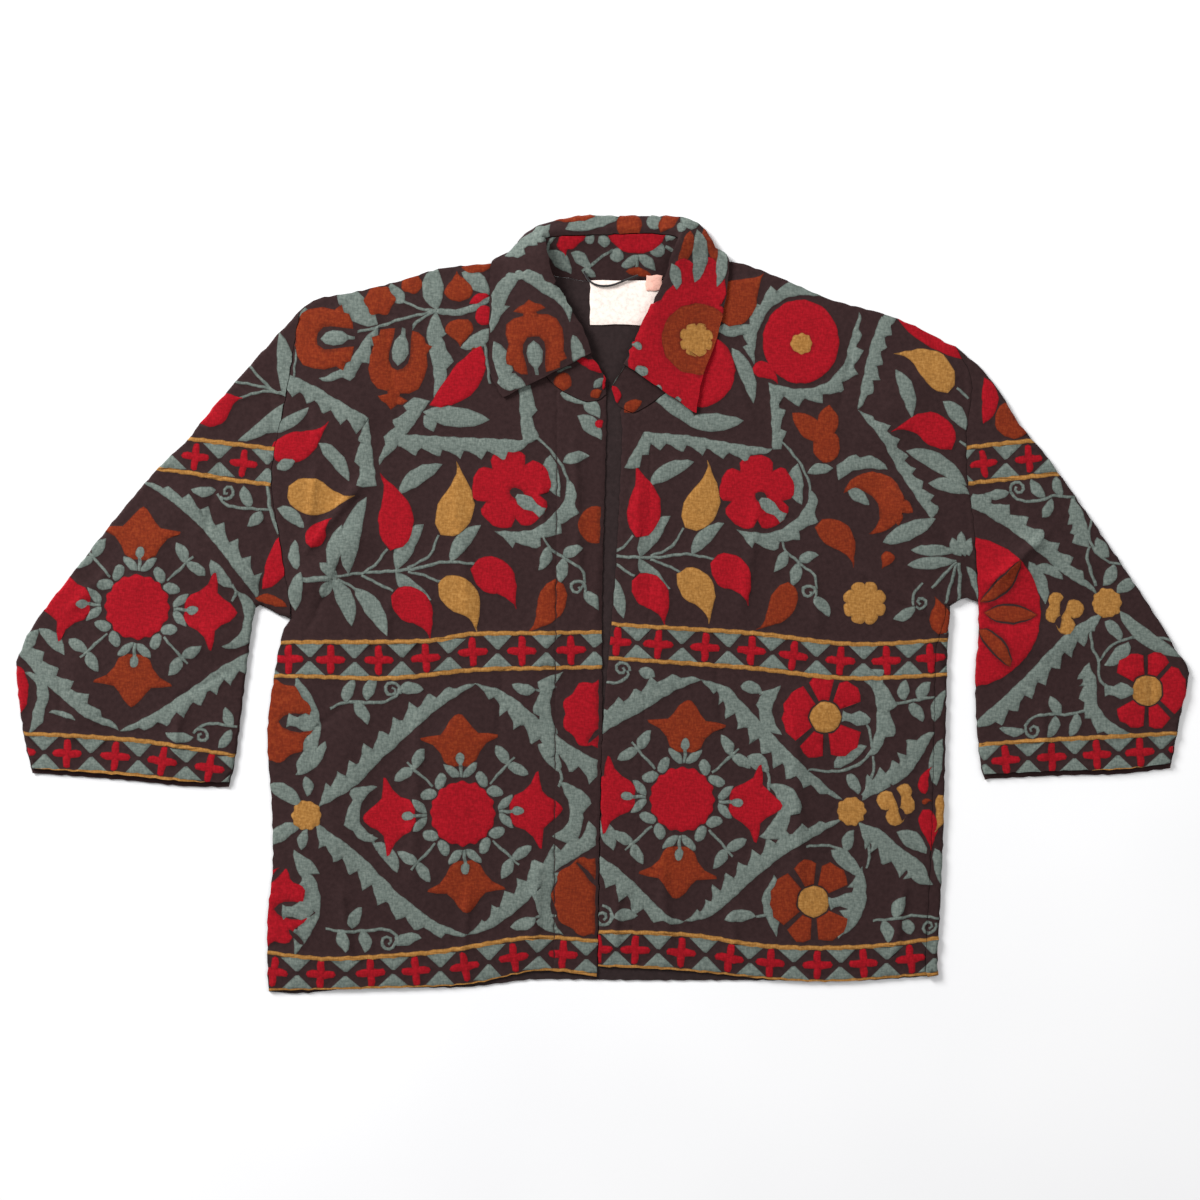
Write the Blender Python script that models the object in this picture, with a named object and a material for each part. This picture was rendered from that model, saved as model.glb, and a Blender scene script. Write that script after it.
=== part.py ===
"""Short open jacket with a turned-down collar, laid flat on its back.

Metres, +Z up. The origin is on the surface, under the middle of the garment.
+Y runs towards the collar and +X towards the wearer's left sleeve.
Places on the garment are counted in steps of a layout grid, across from the
left and down from the top, and the hem's width sets the size of a step.
"""
import math

import bpy
from mathutils import Vector
from mathutils.geometry import delaunay_2d_cdt

MM = 0.001

# Driving dimensions
HEM_WIDTH = 588 * MM
HEM_STEPS = 668
STEP = HEM_WIDTH / HEM_STEPS
CENTRE_ACROSS = 603
CENTRE_DOWN = 604
CLOTH = 1.5 * MM
LINING_CLOTH = 1.0 * MM
SEAM_GAP = 0.3 * MM
TUBE_HEIGHT = 4.6 * MM
COLLAR_CLOTH = 1.5 * MM
LOOP_DIAMETER = 1.8 * MM

# Levels above the surface that the garment lies on
LINING_LOW = CLOTH + SEAM_GAP
FRONT_EDGE_LOW = CLOTH + SEAM_GAP
FRONT_LOW = LINING_LOW + LINING_CLOTH + SEAM_GAP
EDGE_EASE = 26 * MM

# Triangle sizes
EDGE_SPACING = 16 * MM
FRONT_SPACING = 24 * MM
BACK_SPACING = 38 * MM
SLEEVE_SPACING = 25 * MM
CURVE_STEPS = 12
EDGE_CLEARANCE = 0.5
ROW_HEIGHT = math.sqrt(0.75)
SHARP_ANGLE = math.radians(50)

# Folded edges of the sleeves and of the rolled side seam
FOLD_INSET = 1.9 * MM
FOLD_INSET_INSIDE = 2.9 * MM
SIDE_FLAP = 7 * MM
SIDE_FLAP_START = 3.2 * MM
SIDE_FLAP_TAPER = 45 * MM
CUFF_PEEP = 4.5 * MM
CUFF_PEEP_LENGTH = 70 * MM
MOST_CORNER_TURN = 0.5

# Edge curves. Columns: across, down
SHOULDER_RIGHT = (
    (511, 263),
    (490, 264),
    (440, 269),
    (401, 281),
    (352, 293),
    (318, 299),
    (300, 311),
)
ARMHOLE_RIGHT = (
    (300, 311),
    (287, 391),
    (274, 455),
    (272, 490),
    (279, 533),
    (283, 560),
    (290, 603),
    (291, 619),
)
SIDE_RIGHT = (
    (291, 619),
    (282, 636),
    (270, 706),
    (268, 748),
    (272, 804),
    (273, 867),
    (268, 916),
    (268, 972),
    (269, 990),
)
FRONT_HEM_RIGHT = (
    (269, 990),
    (374, 988),
    (465, 984),
    (510, 975),
    (544, 970),
    (597, 976),
)
FRONT_EDGE_RIGHT = (
    (597, 976),
    (600, 800),
    (602, 725),
    (602, 600),
    (606, 440),
    (606, 404),
)
FRONT_EDGE_LEFT = (
    (620, 412),
    (622, 440),
    (616, 565),
    (611.5, 622),
    (603, 725),
    (601, 800),
    (598, 966),
)
FRONT_HEM_LEFT = (
    (598, 966),
    (681, 970),
    (773, 979),
    (838, 981),
    (921, 975),
)
UNDERARM_LEFT = (
    (978, 602),
    (964, 598),
    (950, 606),
)
SIDE_LEFT = (
    (950, 606),
    (947, 650),
    (946, 700),
    (944, 790),
    (943, 832),
    (940, 902),
    (937, 958),
    (938, 975),
)
ARMHOLE_LEFT = (
    (978, 602),
    (974, 535),
    (970, 500),
    (967, 483),
    (966, 435),
    (971, 381),
    (955, 347),
)
SHOULDER_LEFT = (
    (955, 347),
    (944, 342),
    (918, 328),
    (883, 314),
    (831, 300),
    (787, 281),
    (757, 269),
    (738, 263),
    (716, 261),
)
BACK_HEM = (
    (269, 991),
    (300, 993),
    (360, 988),
    (460, 987),
    (500, 983),
    (540, 979),
    (640, 980),
    (760, 980),
    (840, 981),
    (900, 978),
    (938, 975),
)
SLEEVE_TOP_RIGHT = (
    (300, 311),
    (259, 356),
    (210, 412),
    (188, 440),
    (159, 468),
    (123, 510),
    (79, 566),
    (36, 622),
    (22, 650),
    (17, 670),
    (24, 734),
    (33, 773),
)
CUFF_RIGHT = (
    (33, 773),
    (88, 777),
    (136, 781),
    (184, 786),
    (229, 787),
)
SLEEVE_UNDER_RIGHT = (
    (229, 787),
    (235, 762),
    (239, 734),
    (244, 692),
    (249, 650),
    (253, 622),
    (258, 605),
    (272, 611),
    (291, 619),
)
SLEEVE_UNDER_LEFT = (
    (978, 602),
    (978, 640),
    (975, 670),
    (976, 720),
    (980, 762),
    (984, 779),
)
CUFF_LEFT = (
    (984, 779),
    (1024, 777),
    (1072, 775),
    (1120, 774),
    (1170, 768),
)
SLEEVE_TOP_LEFT = (
    (1170, 768),
    (1179, 720),
    (1188, 672),
    (1175, 650),
    (1159, 622),
    (1122, 566),
    (1084, 510),
    (1044, 454),
    (1020, 426),
    (1003, 398),
    (982, 370),
    (955, 347),
)
LINING_EDGE = (
    (545, 281),
    (530, 286),
    (508, 300),
    (512, 350),
    (545, 410),
    (573, 480),
    (585, 620),
    (594, 790),
    (610, 790),
    (629, 620),
    (650, 490),
    (685, 420),
    (716, 350),
    (722, 300),
    (702, 284),
    (684, 278),
)

# Folds of the cloth. They run out over a quarter of their length at each end.
# Columns: start across, start down, end across, end down, half width in mm,
# height in mm
FOLD_RUN_OUT = 4
FOLDS_BODY = (
    (293, 600, 372, 520, 17, 3.2),
    (318, 330, 372, 440, 20, 2.4),
    (452, 690, 438, 930, 24, 2.2),
    (560, 600, 515, 740, 18, 1.6),
    (350, 700, 330, 880, 20, 2.0),
    (968, 588, 880, 480, 18, 3.4),
    (925, 360, 868, 462, 20, 2.4),
    (806, 660, 792, 930, 24, 2.2),
    (664, 560, 650, 720, 18, 1.6),
    (884, 660, 900, 860, 18, 2.0),
)
FOLDS_SLEEVE = (
    (268, 600, 176, 540, 15, 3.4),
    (254, 640, 150, 640, 16, 2.6),
    (205, 470, 120, 610, 22, 2.4),
    (70, 640, 90, 740, 18, 2.0),
    (980, 600, 1050, 530, 16, 3.2),
    (979, 640, 1080, 648, 16, 2.6),
    (1020, 470, 1092, 600, 22, 2.4),
    (1130, 650, 1118, 745, 18, 2.0),
)

# The collar, from the wearer's right front end round the neck to the left.
# Columns: neck seam across, down, height in mm; roll line across, down,
# height in mm
STAND = (
    (606, 395, 4.2, 605, 379, 5.4),
    (597, 400, 4.2, 600, 369, 6.8),
    (583, 401, 4.2, 592, 357, 8.0),
    (550, 381, 4.2, 583, 334, 8.8),
    (524, 338, 4.2, 569, 312, 9.2),
    (513, 292, 4.2, 554, 284, 10.0),
    (514, 273, 4.0, 549, 271, 11.5),
    (518, 268, 3.7, 547, 261, 12.2),
    (526, 268, 3.2, 546, 252, 12.4),
    (537, 271, 2.6, 545, 245, 11.6),
    (551, 275, 2.0, 548, 239, 9.5),
    (588, 281, 1.8, 584, 237, 7.5),
    (617, 283, 1.8, 615, 236, 7.5),
    (645, 281, 1.8, 644, 235, 7.5),
    (674, 275, 2.0, 675, 238, 9.5),
    (687, 271, 2.6, 678, 244, 11.6),
    (698, 268, 3.2, 675, 251, 12.4),
    (706, 268, 3.7, 672, 261, 12.2),
    (711, 273, 4.0, 669, 272, 11.5),
    (714, 292, 4.2, 663, 288, 10.0),
    (706, 335, 4.2, 648, 318, 9.2),
    (679, 380, 4.2, 636, 344, 8.8),
    (638, 411, 4.2, 624, 368, 8.0),
    (622, 408, 4.2, 615, 380, 6.8),
    (616, 401, 4.2, 611, 389, 5.4),
)
# The leaf hangs on the roll line from its third station to its third last.
# Columns: fold across, down, height in mm; edge across, down, height in mm;
# how far it is turned under, from 0 to 1
LEAF = (
    (516, 392, 6.5, 503, 398, 6.2, 0.0),
    (504, 371, 6.5, 491, 375, 6.2, 0.0),
    (502, 337, 6.5, 489, 340, 6.2, 0.0),
    (503, 300, 6.5, 490, 302, 6.2, 0.0),
    (504, 276, 6.5, 490, 276, 6.2, 0.0),
    (506, 264, 6.0, 493, 262, 5.4, 0.0),
    (512, 252, 5.6, 506, 254, 1.6, 0.3),
    (521, 241, 5.6, 533, 251, 0.8, 1.0),
    (539, 227, 6.2, 549, 260, 0.8, 1.0),
    (582, 218, 6.4, 586, 271, 0.8, 1.0),
    (615, 218, 6.4, 616, 273, 0.8, 1.0),
    (648, 218, 6.4, 646, 271, 0.8, 1.0),
    (687, 220, 6.2, 678, 258, 0.8, 1.0),
    (706, 234, 5.6, 693, 250, 0.8, 1.0),
    (713, 247, 5.6, 717, 250, 1.6, 0.3),
    (714, 262, 6.0, 728, 259, 5.4, 0.0),
    (714, 275, 6.5, 728, 274, 6.2, 0.0),
    (713, 294, 6.5, 726, 296, 6.2, 0.0),
    (705, 333, 6.5, 717, 338, 6.2, 0.0),
    (692, 370, 6.5, 702, 378, 6.2, 0.0),
    (683, 405, 6.5, 696, 414, 6.2, 0.0),
)
LEAF_START = 2
COLLAR_STEPS = 2
NECK_GAP = 2 * SEAM_GAP
NECK_POINT_RIGHT = 6
NECK_POINT_LEFT = 18
LINING_NECK_START = 10
LINING_NECK_END = 14
ROLL_GAP = 0.9 * MM
ROLL_ARC = 4.6 * MM
ROLL_PARTS = 4
STAND_PARTS = (0.0, 0.33, 0.67, 1.0)
LEAF_PARTS = (0.25, 0.5, 0.75, 1.0)
EDGE_PARTS = (0.25, 0.5, 0.75)
FOLD_BULGE = 1.5 * MM
TURN_START = 0.05
TURN_MIDDLE = 0.5

# Neck label, size tab and hanging loop
LABEL = (590, 281, 664, 325)
TAB = (646, 276, 662, 291)
LABEL_CLOTH = 1.0 * MM
LOOP_STEPS = 3
LOOP_ROUNDING = 1
LABEL_LOW = LINING_LOW + LINING_CLOTH + SEAM_GAP
TAB_LOW = LABEL_LOW + LABEL_CLOTH + SEAM_GAP
# Columns: across, down, height in mm
LOOP = (
    (584, 272, 5.6),
    (589, 281, 5.4),
    (598, 286, 5.5),
    (611, 286, 5.5),
    (625, 281, 5.5),
    (638, 276, 5.6),
)

# Colours of the cloths, linear red, green, blue
EMBROIDERED_CLOTH = (0.042, 0.025, 0.027, 1.0)
LINING_COLOUR = (0.032, 0.023, 0.025, 1.0)
LABEL_COLOUR = (0.89, 0.74, 0.66, 1.0)
TAB_COLOUR = (0.88, 0.52, 0.42, 1.0)
LOOP_COLOUR = (0.02, 0.018, 0.018, 1.0)
CLOTH_ROUGHNESS = 0.9
CORD_ROUGHNESS = 0.8


def clear_scene():
    for item in list(bpy.data.objects):
        bpy.data.objects.remove(item)


def flat(across, down):
    """A place on the layout grid as a point on the surface."""
    return Vector(((across - CENTRE_ACROSS) * STEP, (CENTRE_DOWN - down) * STEP))


def raised(across, down, height):
    """A place on the layout grid at a height given in millimetres."""
    place = flat(across, down)
    return Vector((place.x, place.y, height * MM))


def smooth(value):
    """Ease from 0 to 1."""
    value = min(max(value, 0.0), 1.0)
    return value * value * (3 - 2 * value)


def between(before, start, end, after, part):
    """Point on the smooth curve that runs from start to end."""
    square = part * part
    cube = square * part
    return 0.5 * (
        2 * start
        + (end - before) * part
        + (2 * before - 5 * start + 4 * end - after) * square
        + (3 * start - before - 3 * end + after) * cube
    )


def smooth_row(points, steps):
    """The points with smooth ones put between them."""
    ends = [2 * points[0] - points[1], *points, 2 * points[-1] - points[-2]]
    row = []
    for index in range(len(points) - 1):
        for step in range(steps):
            row.append(between(*ends[index:index + 4], step / steps))
    row.append(points[-1].copy())
    return row


def edge_curve(table):
    """Evenly spaced points along the smooth curve through a table."""
    fine = smooth_row([flat(*row) for row in table], CURVE_STEPS)
    lengths = [0.0]
    for start, end in zip(fine, fine[1:]):
        lengths.append(lengths[-1] + (end - start).length)
    count = max(round(lengths[-1] / EDGE_SPACING), 1)
    points = []
    index = 0
    for step in range(count + 1):
        target = lengths[-1] * step / count
        while index < len(fine) - 2 and lengths[index + 1] < target:
            index += 1
        span = lengths[index + 1] - lengths[index]
        points.append(fine[index].lerp(fine[index + 1], (target - lengths[index]) / span))
    return points


def normals(points):
    """Unit vectors to the left of a line of points."""
    sides = []
    for index in range(len(points)):
        before = points[max(index - 1, 0)]
        after = points[min(index + 1, len(points) - 1)]
        run = (after - before).normalized()
        sides.append(Vector((-run.y, run.x)))
    return sides


def moved_left(points, distance):
    """A line of points moved to its left."""
    return [point + side * distance for point, side in zip(points, normals(points))]


def joined(*lines):
    """One closed outline from lines that meet end to end."""
    outline = []
    for line in lines:
        outline.extend(line[:-1])
    return outline


def distance_to(point, line):
    """Distance from a point to a line of points."""
    nearest = math.inf
    for start, end in zip(line, line[1:]):
        run = end - start
        part = min(max((point - start).dot(run) / run.length_squared, 0.0), 1.0)
        nearest = min(nearest, (point - start - run * part).length)
    return nearest


def is_inside(point, outline):
    """Whether a point lies inside a closed outline."""
    inside = False
    previous = outline[-1]
    for corner in outline:
        if (corner.y > point.y) != (previous.y > point.y):
            part = (point.y - corner.y) / (previous.y - corner.y)
            if point.x < corner.x + part * (previous.x - corner.x):
                inside = not inside
        previous = corner
    return inside


def flat_sheet(outline, spacing):
    """Points and triangles of a flat sheet. The outline's points come first."""
    points = list(outline)
    closed = [*outline, outline[0]]
    left = min(point.x for point in outline)
    right = max(point.x for point in outline)
    low = min(point.y for point in outline)
    high = max(point.y for point in outline)
    row_height = spacing * ROW_HEIGHT
    for row in range(int((high - low) / row_height) + 1):
        for column in range(int((right - left) / spacing) + 1):
            place = Vector((left + (column + 0.5 * (row % 2)) * spacing, low + row * row_height))
            clearance = EDGE_CLEARANCE * spacing
            if is_inside(place, outline) and distance_to(place, closed) > clearance:
                points.append(place)
    result = delaunay_2d_cdt(points, [], [list(range(len(outline)))], 1, 1e-7)
    where = [sources[0] for sources in result[3]]
    triangles = [tuple(where[corner] for corner in triangle) for triangle in result[2]]
    return points, triangles


def fold_height(point, folds):
    """Height that the folds of a table add at a point."""
    height = 0.0
    for start_across, start_down, end_across, end_down, half_width, rise in folds:
        start = flat(start_across, start_down)
        run = flat(end_across, end_down) - start
        along = (point - start).dot(run) / run.length_squared
        taper = smooth(FOLD_RUN_OUT * along) * smooth(FOLD_RUN_OUT * (1 - along))
        off = (point - start - run * along).length / (half_width * MM)
        height += rise * MM * taper * math.exp(-off * off)
    return height


def new_material(name, colour, roughness):
    material = bpy.data.materials.new(name)
    material.use_nodes = True
    shader = material.node_tree.nodes["Principled BSDF"]
    shader.inputs["Base Color"].default_value = colour
    shader.inputs["Roughness"].default_value = roughness
    return material


def add_object(name, points, faces, colour):
    """One named object with its own material."""
    mesh = bpy.data.meshes.new(name)
    mesh.from_pydata([tuple(point) for point in points], [], faces)
    mesh.update()
    mesh.shade_smooth()
    mesh.set_sharp_from_angle(angle=SHARP_ANGLE)
    mesh.materials.append(new_material(name, colour, CLOTH_ROUGHNESS))
    bpy.context.collection.objects.link(bpy.data.objects.new(name, mesh))


def cloth_object(name, outer, inner, faces, colour):
    """A wall between an outer and an inner surface, closed along its edges."""
    count = len(outer)
    directed = {(face[i - 1], face[i]) for face in faces for i in range(len(face))}
    walls = []
    for start, end in directed:
        if (end, start) not in directed:
            walls.append((end, start, start + count, end + count))
    walls.sort()
    inner_faces = [tuple(corner + count for corner in reversed(face)) for face in faces]
    add_object(name, [*outer, *inner], [*faces, *inner_faces, *walls], colour)


def with_height(point, height):
    return Vector((point.x, point.y, height))


def neck_seam():
    """Stand's lower edge, seen from above, at each station."""
    row = [Vector((across, down)) for across, down, *_ in STAND]
    fine = smooth_row(row, COLLAR_STEPS)
    return [flat(place.x, place.y) for place in fine]


def neck_line(first, last, side):
    """Stretch of the neck seam between two stations, moved off the stand to one side."""
    seam = moved_left(neck_seam(), side * NECK_GAP)
    return seam[first * COLLAR_STEPS:last * COLLAR_STEPS + 1]


def front_low(point, resting_edges):
    """Level of a front's underside. It comes down along its shoulder, side and hem."""
    ease = min(smooth(distance_to(point, edge) / EDGE_EASE) for edge in resting_edges)
    low = FRONT_EDGE_LOW + (FRONT_LOW - FRONT_EDGE_LOW) * ease
    return low + ease * fold_height(point, FOLDS_BODY)


def make_front(name, outline, resting_edges):
    points, triangles = flat_sheet(outline, FRONT_SPACING)
    lows = [front_low(point, resting_edges) for point in points]
    inner = [with_height(point, low) for point, low in zip(points, lows)]
    outer = [with_height(point, low + CLOTH) for point, low in zip(points, lows)]
    cloth_object(name, outer, inner, triangles, EMBROIDERED_CLOTH)


def make_front_right():
    shoulder = edge_curve(SHOULDER_RIGHT)
    armhole = moved_left(edge_curve(ARMHOLE_RIGHT), SEAM_GAP / 2)
    side = edge_curve(SIDE_RIGHT)
    hem = edge_curve(FRONT_HEM_RIGHT)
    front_edge = edge_curve(FRONT_EDGE_RIGHT)
    neck = [*neck_line(0, NECK_POINT_RIGHT, 1), shoulder[0]]
    outline = joined(shoulder, armhole, side, hem, front_edge, neck)
    make_front("front_right", outline, (shoulder, side, hem))


def flap_inset(place):
    """Distance from the left side's edge to the edge of the cloth rolled over it."""
    start = edge_curve(SIDE_LEFT)[0]
    return SIDE_FLAP_START + SIDE_FLAP * smooth((start.y - place.y) / SIDE_FLAP_TAPER)


def make_front_left():
    underarm = edge_curve(UNDERARM_LEFT)
    side = edge_curve(SIDE_LEFT)
    seam = []
    for place, inward in zip(side, normals(side)):
        seam.append(place - inward * (flap_inset(place) + SEAM_GAP))
    armhole = moved_left(edge_curve(ARMHOLE_LEFT), SEAM_GAP / 2)
    shoulder = edge_curve(SHOULDER_LEFT)
    front_edge = edge_curve(FRONT_EDGE_LEFT)
    hem = edge_curve(FRONT_HEM_LEFT)
    neck = neck_line(NECK_POINT_LEFT, len(STAND) - 2, 1)
    hem[-1] = Vector((seam[-1].x, hem[-1].y))
    seam_up = list(reversed(seam[:-1]))
    underarm_out = list(reversed(underarm[:-1]))
    outline = [
        *front_edge[:-1],
        *hem,
        *seam_up,
        *underarm_out[:-1],
        *armhole[:-1],
        *shoulder,
        *neck[1:],
    ]
    make_front("front_left", outline, (shoulder, hem))


def make_back():
    """The back lies flat. Its left side rolls over the edge and lies on top."""
    shoulder_right = edge_curve(SHOULDER_RIGHT)
    armhole_right = moved_left(edge_curve(ARMHOLE_RIGHT), SEAM_GAP / 2)
    side_right = edge_curve(SIDE_RIGHT)
    hem = edge_curve(BACK_HEM)
    side_left = list(reversed(edge_curve(SIDE_LEFT)))
    underarm = list(reversed(edge_curve(UNDERARM_LEFT)))
    armhole_left = moved_left(edge_curve(ARMHOLE_LEFT), SEAM_GAP / 2)
    shoulder_left = edge_curve(SHOULDER_LEFT)
    neck = list(reversed(neck_line(NECK_POINT_RIGHT + 2, NECK_POINT_LEFT - 2, -1)))

    inward = normals(side_left)
    insets = [flap_inset(place) for place in side_left]
    side_inset = [place + side * FOLD_INSET for place, side in zip(side_left, inward)]
    before = [*shoulder_right[:-1], *armhole_right[:-1], *side_right[:-1], *hem[:-1]]
    after = [*underarm[1:-1], *armhole_left[:-1], *shoulder_left, *neck]
    outline = [*before, *side_inset, *after]
    points, triangles = flat_sheet(outline, BACK_SPACING)
    inside = [with_height(point, CLOTH) for point in points]
    outside = [with_height(point, 0.0) for point in points]

    first = len(before)
    rows = [list(range(first, first + len(side_left)))]
    for place, side, edge in zip(side_left, inward, rows[0]):
        inside[edge] = with_height(place + side * FOLD_INSET_INSIDE, CLOTH)
    count = len(side_left)
    top = TUBE_HEIGHT
    turn = ([0.0] * count, [CLOTH] * count, top / 2, top / 2)
    over = ([FOLD_INSET] * count, [FOLD_INSET_INSIDE] * count, top, top - CLOTH)
    flap = (insets, insets, top, top - CLOTH)
    for outer_insets, inner_insets, outer_height, inner_height in (turn, over, flap):
        rows.append([])
        for place, side, outer, inner in zip(side_left, inward, outer_insets, inner_insets):
            rows[-1].append(len(outside))
            outside.append(with_height(place + side * outer, outer_height))
            inside.append(with_height(place + side * inner, inner_height))
    faces = list(triangles)
    for lower, upper in zip(rows, rows[1:]):
        for index in range(len(lower) - 1):
            faces.append((lower[index + 1], lower[index], upper[index], upper[index + 1]))
    cloth_object("back", inside, outside, faces, EMBROIDERED_CLOTH)


def make_sleeve(name, armhole, edge_down, cuff, edge_up):
    """A tube pressed flat. The lines run round it, and it is open at armhole and cuff."""
    outline = joined(armhole, edge_down, cuff, edge_up)
    fold_start = len(armhole) - 1
    fold_end = fold_start + len(edge_down) - 1
    fold_back = fold_end + len(cuff) - 1
    folds = (list(range(fold_start, fold_end + 1)), [*range(fold_back, len(outline)), 0])
    inward = [Vector((0.0, 0.0)) for _ in outline]
    for fold, line in zip(folds, (edge_down, edge_up)):
        for index, side in zip(fold, normals(line)):
            inward[index] = side
    corners = (
        (0, 1),
        (fold_start, fold_start - 1),
        (fold_end, fold_end + 1),
        (fold_back, fold_back - 1),
    )
    for corner, neighbour in corners:
        along = (outline[neighbour] - outline[corner]).normalized()
        inward[corner] = along / max(along.dot(inward[corner]), MOST_CORNER_TURN)
    sheet_outline = [place + side * FOLD_INSET for place, side in zip(outline, inward)]
    points, triangles = flat_sheet(sheet_outline, SLEEVE_SPACING)
    extra = [side * (FOLD_INSET_INSIDE - FOLD_INSET) for side in inward]
    extra.extend(Vector((0.0, 0.0)) for _ in range(len(points) - len(outline)))
    across_cuff = (cuff[-1] - cuff[0]).normalized()
    cuff_way = Vector((across_cuff.y, -across_cuff.x))

    def peep(point):
        """How far the under layer reaches past the upper one near the cuff."""
        return cuff_way * CUFF_PEEP * smooth(1 - distance_to(point, cuff) / CUFF_PEEP_LENGTH)

    count = len(points)
    outer = []
    inner = []
    for point, more in zip(points, extra):
        ease = smooth(min(distance_to(point, edge_down), distance_to(point, edge_up)) / EDGE_EASE)
        top = TUBE_HEIGHT + ease * fold_height(point, FOLDS_SLEEVE)
        outer.append(with_height(point - peep(point), top))
        inner.append(with_height(point + more - peep(point), top - CLOTH))
    for point, more in zip(points, extra):
        outer.append(with_height(point, 0.0))
        inner.append(with_height(point + more, CLOTH))
    faces = [*triangles]
    faces.extend(tuple(corner + count for corner in reversed(face)) for face in triangles)
    for fold in folds:
        middle = {}
        for index in fold:
            middle[index] = len(outer)
            edge = outline[index] - 0.5 * peep(outline[index])
            outer.append(with_height(edge, TUBE_HEIGHT / 2))
            inner.append(with_height(edge + inward[index] * CLOTH, TUBE_HEIGHT / 2))
        for here, there in zip(fold, fold[1:]):
            faces.append((there, here, middle[here], middle[there]))
            faces.append((middle[there], middle[here], here + count, there + count))
    cloth_object(name, outer, inner, faces, EMBROIDERED_CLOTH)


def make_sleeve_right():
    armhole = list(reversed(moved_left(edge_curve(ARMHOLE_RIGHT), -SEAM_GAP / 2)))
    edge_down = edge_curve(SLEEVE_TOP_RIGHT)
    edge_up = edge_curve(SLEEVE_UNDER_RIGHT)
    make_sleeve("sleeve_right", armhole, edge_down, edge_curve(CUFF_RIGHT), edge_up)


def make_sleeve_left():
    armhole = list(reversed(moved_left(edge_curve(ARMHOLE_LEFT), -SEAM_GAP / 2)))
    edge_down = edge_curve(SLEEVE_UNDER_LEFT)
    edge_up = edge_curve(SLEEVE_TOP_LEFT)
    make_sleeve("sleeve_left", armhole, edge_down, edge_curve(CUFF_LEFT), edge_up)


def ribbon_object(name, rows, thickness, colour):
    """A wall on both sides of rows of points, with as many points in each row."""
    columns = len(rows[0])
    outer = []
    inner = []
    for row in range(len(rows)):
        for column in range(columns):
            before = rows[max(row - 1, 0)][column]
            after = rows[min(row + 1, len(rows) - 1)][column]
            left = rows[row][max(column - 1, 0)]
            right = rows[row][min(column + 1, columns - 1)]
            side = (after - before).cross(right - left).normalized() * thickness / 2
            above = rows[row][column] + side
            below = rows[row][column] - side
            outer.append(Vector((above.x, above.y, max(above.z, 0.0))))
            inner.append(Vector((below.x, below.y, max(below.z, 0.0))))
    faces = []
    for row in range(len(rows) - 1):
        for column in range(columns - 1):
            corner = row * columns + column
            faces.append((corner, corner + columns, corner + columns + 1, corner + 1))
    cloth_object(name, outer, inner, faces, colour)


def stand_row(seam, roll):
    """Points up the stand from the neck seam to the roll line."""
    return [seam.lerp(roll, part) for part in STAND_PARTS]


def make_collar_stand():
    seams = smooth_row([raised(*row[:3]) for row in STAND], COLLAR_STEPS)
    rolls = smooth_row([raised(*row[3:]) for row in STAND], COLLAR_STEPS)
    rows = [stand_row(seam, roll) for seam, roll in zip(seams, rolls)]
    ribbon_object("collar_stand", rows, COLLAR_CLOTH, EMBROIDERED_CLOTH)


def leaf_row(seam, roll, fold, edge, under):
    """Points down the leaf from the roll line, over its fold and to its edge."""
    rise = (roll - seam).normalized()
    outward = with_height(fold - roll, 0.0).normalized()
    bend = math.pi * (0.5 - 0.5 * rise.dot(outward))
    over = outward + Vector((0.0, 0.0, 1.0))
    over = (over - rise * over.dot(rise)).normalized()
    row = [roll + rise * ROLL_GAP]
    for index in range(ROLL_PARTS):
        angle = bend * (index + 0.5) / ROLL_PARTS
        way = rise * math.cos(angle) + over * math.sin(angle)
        row.append(row[-1] + way * ROLL_ARC / ROLL_PARTS)
    crest = row[-1]
    for part in LEAF_PARTS:
        row.append(crest.lerp(fold, part))
    floor = COLLAR_CLOTH / 2
    side = with_height(fold + outward * FOLD_BULGE, (fold.z + floor) / 2)
    bottom = with_height(fold.lerp(edge, TURN_START), floor)
    middle = with_height(fold.lerp(edge, TURN_MIDDLE), floor)
    for part, rolled in zip(EDGE_PARTS, (side, bottom, middle)):
        row.append(fold.lerp(edge, part).lerp(rolled, under))
    row.append(edge)
    return row


def make_collar_leaf():
    last = LEAF_START + len(LEAF)
    stations = STAND[LEAF_START:last]
    seams = smooth_row([raised(*row[:3]) for row in stations], COLLAR_STEPS)
    rolls = smooth_row([raised(*row[3:]) for row in stations], COLLAR_STEPS)
    folds = smooth_row([raised(*row[:3]) for row in LEAF], COLLAR_STEPS)
    edges = smooth_row([raised(*row[3:6]) for row in LEAF], COLLAR_STEPS)
    unders = smooth_row([Vector((row[6], 0.0)) for row in LEAF], COLLAR_STEPS)
    rows = []
    for seam, roll, fold, edge, under in zip(seams, rolls, folds, edges, unders):
        rows.append(leaf_row(seam, roll, fold, edge, min(max(under.x, 0.0), 1.0)))
    ribbon_object("collar_leaf", rows, COLLAR_CLOTH, EMBROIDERED_CLOTH)


def make_lining():
    """The back's lining, where it shows in the neck and between the fronts."""
    neck = list(reversed(neck_line(LINING_NECK_START, LINING_NECK_END, -1)))
    points, triangles = flat_sheet([*edge_curve(LINING_EDGE), *neck], FRONT_SPACING)
    inner = [with_height(point, LINING_LOW) for point in points]
    outer = [with_height(point, LINING_LOW + LINING_CLOTH) for point in points]
    cloth_object("lining", outer, inner, triangles, LINING_COLOUR)


def make_patch(name, corners, low, colour):
    """A small piece of tape, flat on the lining."""
    left, top, right, bottom = corners
    outline = [flat(left, top), flat(left, bottom), flat(right, bottom), flat(right, top)]
    outer = [with_height(point, low + LABEL_CLOTH) for point in outline]
    inner = [with_height(point, low) for point in outline]
    cloth_object(name, outer, inner, [(0, 1, 2, 3)], colour)


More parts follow.
